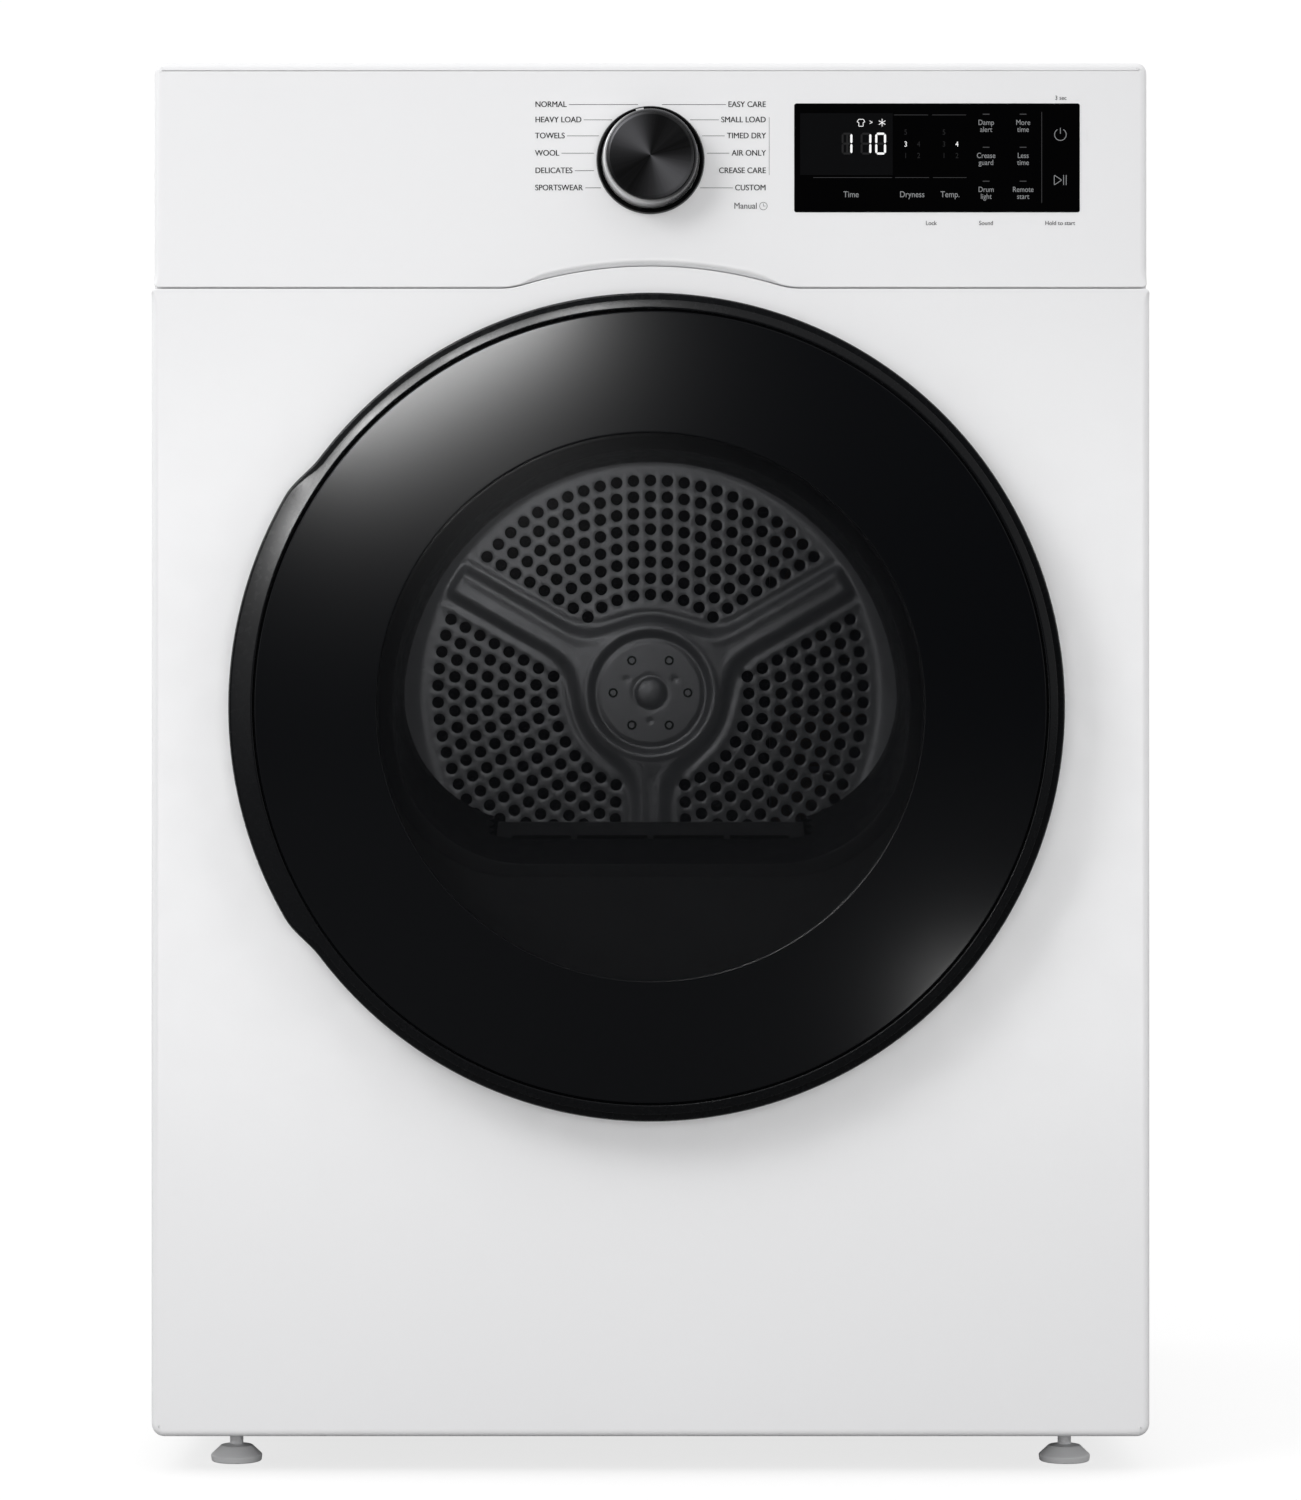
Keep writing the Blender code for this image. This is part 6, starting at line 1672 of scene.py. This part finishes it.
def make_bulkhead():
    """Front bulkhead: a plate, a collar, a D-shaped tunnel with a rolled edge, and the drum's ring."""
    count = 240
    angles = np.linspace(0, TURN, count, endpoint=False)
    lowest, highest = low("front_bulkhead"), high("front_bulkhead")
    ring_radius = 300 * MM
    rise = DRUM_Z - DOOR_Z
    plate, mouth, tunnel_end = 40 * MM, 12 * MM, 96 * MM
    mouth_edge, end_edge = 5 * MM, 8 * MM

    def circle(radius, centre_rise=0.0):
        reach = centre_rise * np.sin(angles) + np.sqrt(radius ** 2 - (centre_rise * np.cos(angles)) ** 2)
        return np.stack([reach * np.cos(angles), DOOR_Z + reach * np.sin(angles)], 1)

    upright = np.where(np.sin(angles) > 0, highest[2] - DOOR_Z, DOOR_Z - lowest[2])
    reach = np.minimum(highest[0] / np.maximum(np.abs(np.cos(angles)), 1e-9),
                       upright / np.maximum(np.abs(np.sin(angles)), 1e-9))
    rectangle = np.stack([reach * np.cos(angles), DOOR_Z + reach * np.sin(angles)], 1)
    sections = [(plate, rectangle), (plate, circle(212 * MM)), (37 * MM, circle(207.6 * MM)),
                (14 * MM, circle(207 * MM)), (12.2 * MM, circle(205.5 * MM)), (mouth, circle(203 * MM))]
    for angle in np.linspace(0, math.pi / 2, 7):
        inset, depth = mouth_edge * (1 - math.sin(angle)), mouth_edge * (1 - math.cos(angle))
        sections.append((mouth + depth, d_outline(185 * MM + inset, 115 * MM + inset, 90 * MM, count)))
    for share in np.linspace(0.12, 1, 9):
        depth = 17 * MM + (96 - 17) * MM * share
        sections.append((depth,
                         d_outline((185 - 10 * share) * MM, (115 - 35 * share) * MM, 90 * MM, count)))
    for angle in np.linspace(0.3, math.pi / 2, 5):
        inset, depth = end_edge * (1 - math.cos(angle)), end_edge * math.sin(angle)
        sections.append((tunnel_end + depth, d_outline(175 * MM + inset, 80 * MM + inset, 90 * MM, count)))
    sections += [(104 * MM, circle(ring_radius - 6 * MM, rise)),
                 (105.5 * MM, circle(ring_radius - 1.5 * MM, rise)),
                 (108 * MM, circle(ring_radius, rise)), (124 * MM, circle(ring_radius, rise))]
    points, faces = skin(loft(sections, count), cap=False)
    faces = np.array(faces)
    corner = points[faces].mean(1)
    filter_low, filter_high = low("lint_filter"), high("lint_filter")
    slot = ((np.abs(corner[:, 0]) < filter_high[0] + 3.5 * MM) & (corner[:, 1] > filter_low[1] - 2.5 * MM)
            & (corner[:, 1] < filter_high[1] + 2.5 * MM) & (corner[:, 2] < DOOR_Z - 55 * MM)
            & (corner[:, 2] > DOOR_Z - 130 * MM))
    faces = faces[~slot]
    make_piece("front_bulkhead_skin", points, faces, finish("bulkhead_moulding"), "root",
               ["front_bulkhead"], wall=1.0 * MM, sharp=35)


def make_lint_filter():
    """Lint filter: a frame with a thumb lip, ribs, and a fine screen between them."""
    lowest, highest = low("lint_filter"), high("lint_filter")
    mid_y = (lowest[1] + highest[1]) / 2
    half_y = (highest[1] - lowest[1]) / 2
    width, height = highest[0] - lowest[0], highest[2] - lowest[2]
    mid_z = (lowest[2] + highest[2]) / 2

    def ring(half_x, half_z, corner):
        outline = rounded(box_corners((-half_x, -half_z), (half_x, half_z)), corner, 6)
        return outline + np.array([0, mid_z])

    outer = ring(width / 2, height / 2, 6 * MM)
    inner = ring(width / 2 - 9 * MM, height / 2 - 9 * MM, 4 * MM)
    shapes = []
    for side in (-1, 1):
        face_y = mid_y + side * (half_y - 1 * MM) - FRONT_Y
        loop = [(outer, face_y), (outer * [0.998, 1], face_y + side * 1 * MM),
                (inner, face_y + side * 1 * MM), (inner,
                                                  face_y - side * 1 * MM), (outer, face_y - side * 1 * MM)]
        rings = [np.stack([flat[:, 0], np.full(len(flat), depth), flat[:, 1]], 1) for flat, depth in loop]
        points = np.concatenate(rings) + np.array([0, FRONT_Y, 0])
        shapes.append((points, quads(len(rings), len(outer), wrap_rows=True, wrap_columns=True).tolist()))
        for share in (-0.25, 0.0, 0.25):
            x = share * width
            shapes.append(bar((x - 2 * MM, x + 2 * MM), (lowest[2] + 6 * MM, highest[2] - 6 * MM),
                              face_y - 1 * MM, 2 * MM))
    shapes.append(bar((-width / 2 + 0.5 * MM, width / 2 - 0.5 * MM), (highest[2] - 7 * MM, highest[2]),
                      lowest[1] - FRONT_Y + 0.2 * MM, half_y * 2 - 0.4 * MM))
    points, faces = joined(shapes)
    make_piece("lint_filter_frame", points, faces, finish("grey_moulding"), "lint_filter", ["lint_filter"],
               sharp=35)
    screens = []
    margin, pitch, wire, thick = 8 * MM, 1.9 * MM, 0.35 * MM, 0.3 * MM
    x_ends = (lowest[0] + margin, highest[0] - margin)
    z_ends = (lowest[2] + margin, highest[2] - margin)
    for side in (-1, 1):
        depth = mid_y + side * (half_y - 1 * MM) - FRONT_Y
        screens += [bar((x, x + wire), z_ends, depth - thick, thick) for x in np.arange(*x_ends, pitch)]
        screens += [bar(x_ends, (z, z + wire), depth, thick) for z in np.arange(*z_ends, pitch)]
    points, faces = joined(screens)
    make_piece("lint_filter_screen", points, faces, finish("black_moulding"), "lint_filter", sharp=20)


class DRYER_OT_drum(Operator):
    """Drum with its perforated back, fins and hub bolts"""
    bl_idname = "dryer.drum"
    bl_label = "Drum"

    def execute(self, context):
        make_drum_back(context.scene.dryer_sizes)
        make_hub_bolts()
        make_drum_shell()
        make_baffles()
        return {"FINISHED"}


class DRYER_OT_bulkhead(Operator):
    """Front bulkhead and lint filter"""
    bl_idname = "dryer.bulkhead"
    bl_label = "Bulkhead"

    def execute(self, context):
        make_bulkhead()
        make_lint_filter()
        return {"FINISHED"}


class DRYER_OT_finishes(Operator):
    """Finishes of the working parts that keep their frame shapes"""
    bl_idname = "dryer.finishes"
    bl_label = "Working parts"

    def execute(self, context):
        for look, names in NODE_FINISHES.items():
            for name in names:
                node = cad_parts[name]
                node.data.materials.clear()
                node.data.materials.append(finish(look))
        return {"FINISHED"}


# ---------------------------------------------------------------- stage

def area_light(name, location, target, size, energy, only=(), sheen=False, roll=0.0):
    """Soft rectangular light out of view, for all or only the named pieces, or only their gloss."""
    light = bpy.data.lights.new(name, "AREA")
    light.shape = "RECTANGLE"
    light.size, light.size_y = size
    light.energy = energy
    placed = bpy.data.objects.new(name, light)
    placed.location = location
    placed.visible_camera = False
    placed.visible_diffuse = not sheen
    aim = (Vector(target) - Vector(location)).to_track_quat("-Z", "Y")
    placed.rotation_euler = (aim @ Quaternion((0.0, 0.0, 1.0), math.radians(roll))).to_euler()
    bpy.context.scene.collection.objects.link(placed)
    if only:
        receivers = bpy.data.collections.new(name)
        for piece in only:
            receivers.objects.link(bpy.data.objects[piece])
        placed.light_linking.receiver_collection = receivers


def make_camera():
    """Level camera square to the front, far enough away for the cabinet's sides to stay hidden."""
    distance, height, frame_height = 3.0, 0.4978, 1.030
    camera = bpy.data.cameras.new("camera")
    camera.sensor_width = 36.0
    camera.lens = camera.sensor_width * distance / frame_height
    placed = bpy.data.objects.new("camera", camera)
    placed.location = (0.0, FRONT_Y - distance, height)
    placed.rotation_euler = (math.pi / 2, 0.0, 0.0)
    bpy.context.scene.collection.objects.link(placed)
    bpy.context.scene.camera = placed


def make_stage():
    """Plain pale floor that runs far out, the sky over it, and the lights."""
    mesh = bpy.data.meshes.new("floor")
    reach = 12.0
    mesh.from_pydata([(-reach, -reach, 0), (reach, -reach, 0), (reach, reach, 0), (-reach, reach, 0)], [],
                     [(0, 1, 2, 3)])
    pale = Finish("pale_floor", Roughness=0.9, Specular_IOR_Level=0.0, Emission_Strength=0.76)
    seen = pale.node("ShaderNodeLightPath", output="Is Camera Ray")
    pale.set(Emission_Color=pale.blend(seen, (0.0, 0.0, 0.0), (1.0, 1.0, 1.0)),
             Base_Color=pale.blend(pale.noise(2.0, 2.0), (0.27, 0.27, 0.27), (0.29, 0.29, 0.29)))
    mesh.materials.append(pale.material)
    floor = bpy.data.objects.new("floor", mesh)
    bpy.context.scene.collection.objects.link(floor)
    make_sky()
    area_light("key", (-1.35, FRONT_Y - 1.55, 1.80), (0.0, FRONT_Y, 0.55), (0.9, 0.9), 14.0)
    area_light("front_fill", (0.0, FRONT_Y - 3.2, 0.36), (0.0, FRONT_Y, 0.45), (1.8, 1.3), 42.0,
               ["front_panel_skin", "fascia_skin", "levelling_foot_1_skin", "levelling_foot_2_skin"])
    out, ahead = COVER_RADIUS + 1.69, 1.41
    for degrees, energy in ((100, 30.0), (117, 36.0), (134, 46.0), (150, 36.0)):
        across, up = math.cos(math.radians(degrees)), math.sin(math.radians(degrees))
        area_light(f"rim_{degrees}", (out * across, FRONT_Y - ahead, DOOR_Z + out * up),
                   (COVER_RADIUS * across, FRONT_Y, DOOR_Z + COVER_RADIUS * up), (0.30, 0.22), energy,
                   ["door_rim_skin"], sheen=True)
    glow = math.radians(121)
    area_light("door_glow", (1.09 * math.cos(glow), FRONT_Y - 2.50, DOOR_Z + 1.09 * math.sin(glow)),
               (0.24 * math.cos(glow), FRONT_Y, DOOR_Z + 0.24 * math.sin(glow)), (0.74, 0.10), 44.0,
               ["door_cover"], sheen=True, roll=31.0)
    area_light("low_glow", (0.47, FRONT_Y - 1.0, 0.10), (0.19, FRONT_Y, 0.335), (0.14, 0.14), 1.2,
               ["door_cover"], sheen=True)
    area_light("drum_lamp", (-0.10, FRONT_Y + 0.20, DRUM_Z + 0.15), (0.0, FRONT_Y + 0.60, DRUM_Z),
               (0.16, 0.12), 0.46, ["drum_back_sheet", "hub_bolts", "drum_shell_sheet"])


def make_sky():
    """White sky to look at; as a light it is dark straight ahead and brighter at the upper left."""
    world = bpy.data.worlds.new("sky")
    bpy.context.scene.world = world
    sky = Nodes(world)

    def towards(direction):
        length = math.sqrt(sum(part * part for part in direction))
        inputs = {0: sky.node("ShaderNodeTexCoord", output="Generated"),
                  1: tuple(part / length for part in direction)}
        return sky.node("ShaderNodeVectorMath", {"operation": "DOT_PRODUCT"}, inputs, "Value")

    ahead = sky.node("ShaderNodeMapRange", {"interpolation_type": "SMOOTHSTEP"},
                     {"Value": towards((0.0, -1.0, 0.0)), "From Min": 0.68, "From Max": 0.92})
    lit_side = towards((-0.65, -0.25, 0.72)).call("MAXIMUM", 0.0) ** 2.0
    overhead = towards((0.0, 0.0, 1.0)).call("MAXIMUM", 0.0) ** 2.0
    level = (lit_side * 0.30 + 1.06) * (1.0 - ahead * 0.97) * (1.0 - overhead * 0.25)
    seen = sky.node("ShaderNodeLightPath", output="Is Camera Ray")
    strength = level * (1.0 - seen) + seen * 1.05
    background = sky.tree.nodes["Background"]
    background.inputs["Color"].default_value = (1.0, 1.0, 1.0, 1.0)
    sky.tree.links.new(strength.socket, background.inputs["Strength"])
    bpy.context.scene.view_settings.view_transform = "Standard"


class DRYER_OT_stage(Operator):
    """Floor, sky, lights and camera"""
    bl_idname = "dryer.stage"
    bl_label = "Stage"

    def execute(self, context):
        make_camera()
        make_stage()
        return {"FINISHED"}


class DRYER_PT_maker(Panel):
    """The dryer's sizes, colours and pieces"""
    bl_label = "Dryer"
    bl_idname = "DRYER_PT_maker"
    bl_space_type = "VIEW_3D"
    bl_region_type = "UI"
    bl_category = "Dryer"

    def draw(self, context):
        layout = self.layout
        for group in (context.scene.dryer_sizes, context.scene.dryer_colours):
            for key in group.bl_rna.properties.keys():
                if key not in ("rna_type", "name"):
                    layout.prop(group, key)
        for operator in OPERATORS:
            layout.operator(operator.bl_idname)


OPERATORS = (DRYER_OT_cabinet, DRYER_OT_feet, DRYER_OT_fascia, DRYER_OT_dial, DRYER_OT_door, DRYER_OT_drum,
             DRYER_OT_bulkhead, DRYER_OT_finishes, DRYER_OT_stage)
CLASSES = (DryerSizes, DryerColours, *OPERATORS, DRYER_PT_maker)


def register():
    for made in CLASSES:
        bpy.utils.register_class(made)
    bpy.types.Scene.dryer_sizes = PointerProperty(type=DryerSizes)
    bpy.types.Scene.dryer_colours = PointerProperty(type=DryerColours)


def unregister():
    del bpy.types.Scene.dryer_sizes
    del bpy.types.Scene.dryer_colours
    for made in reversed(CLASSES):
        bpy.utils.unregister_class(made)


def main():
    register()
    for operator in OPERATORS:
        group, name = operator.bl_idname.split(".")
        getattr(getattr(bpy.ops, group), name)()


if __name__ == "__main__":
    main()
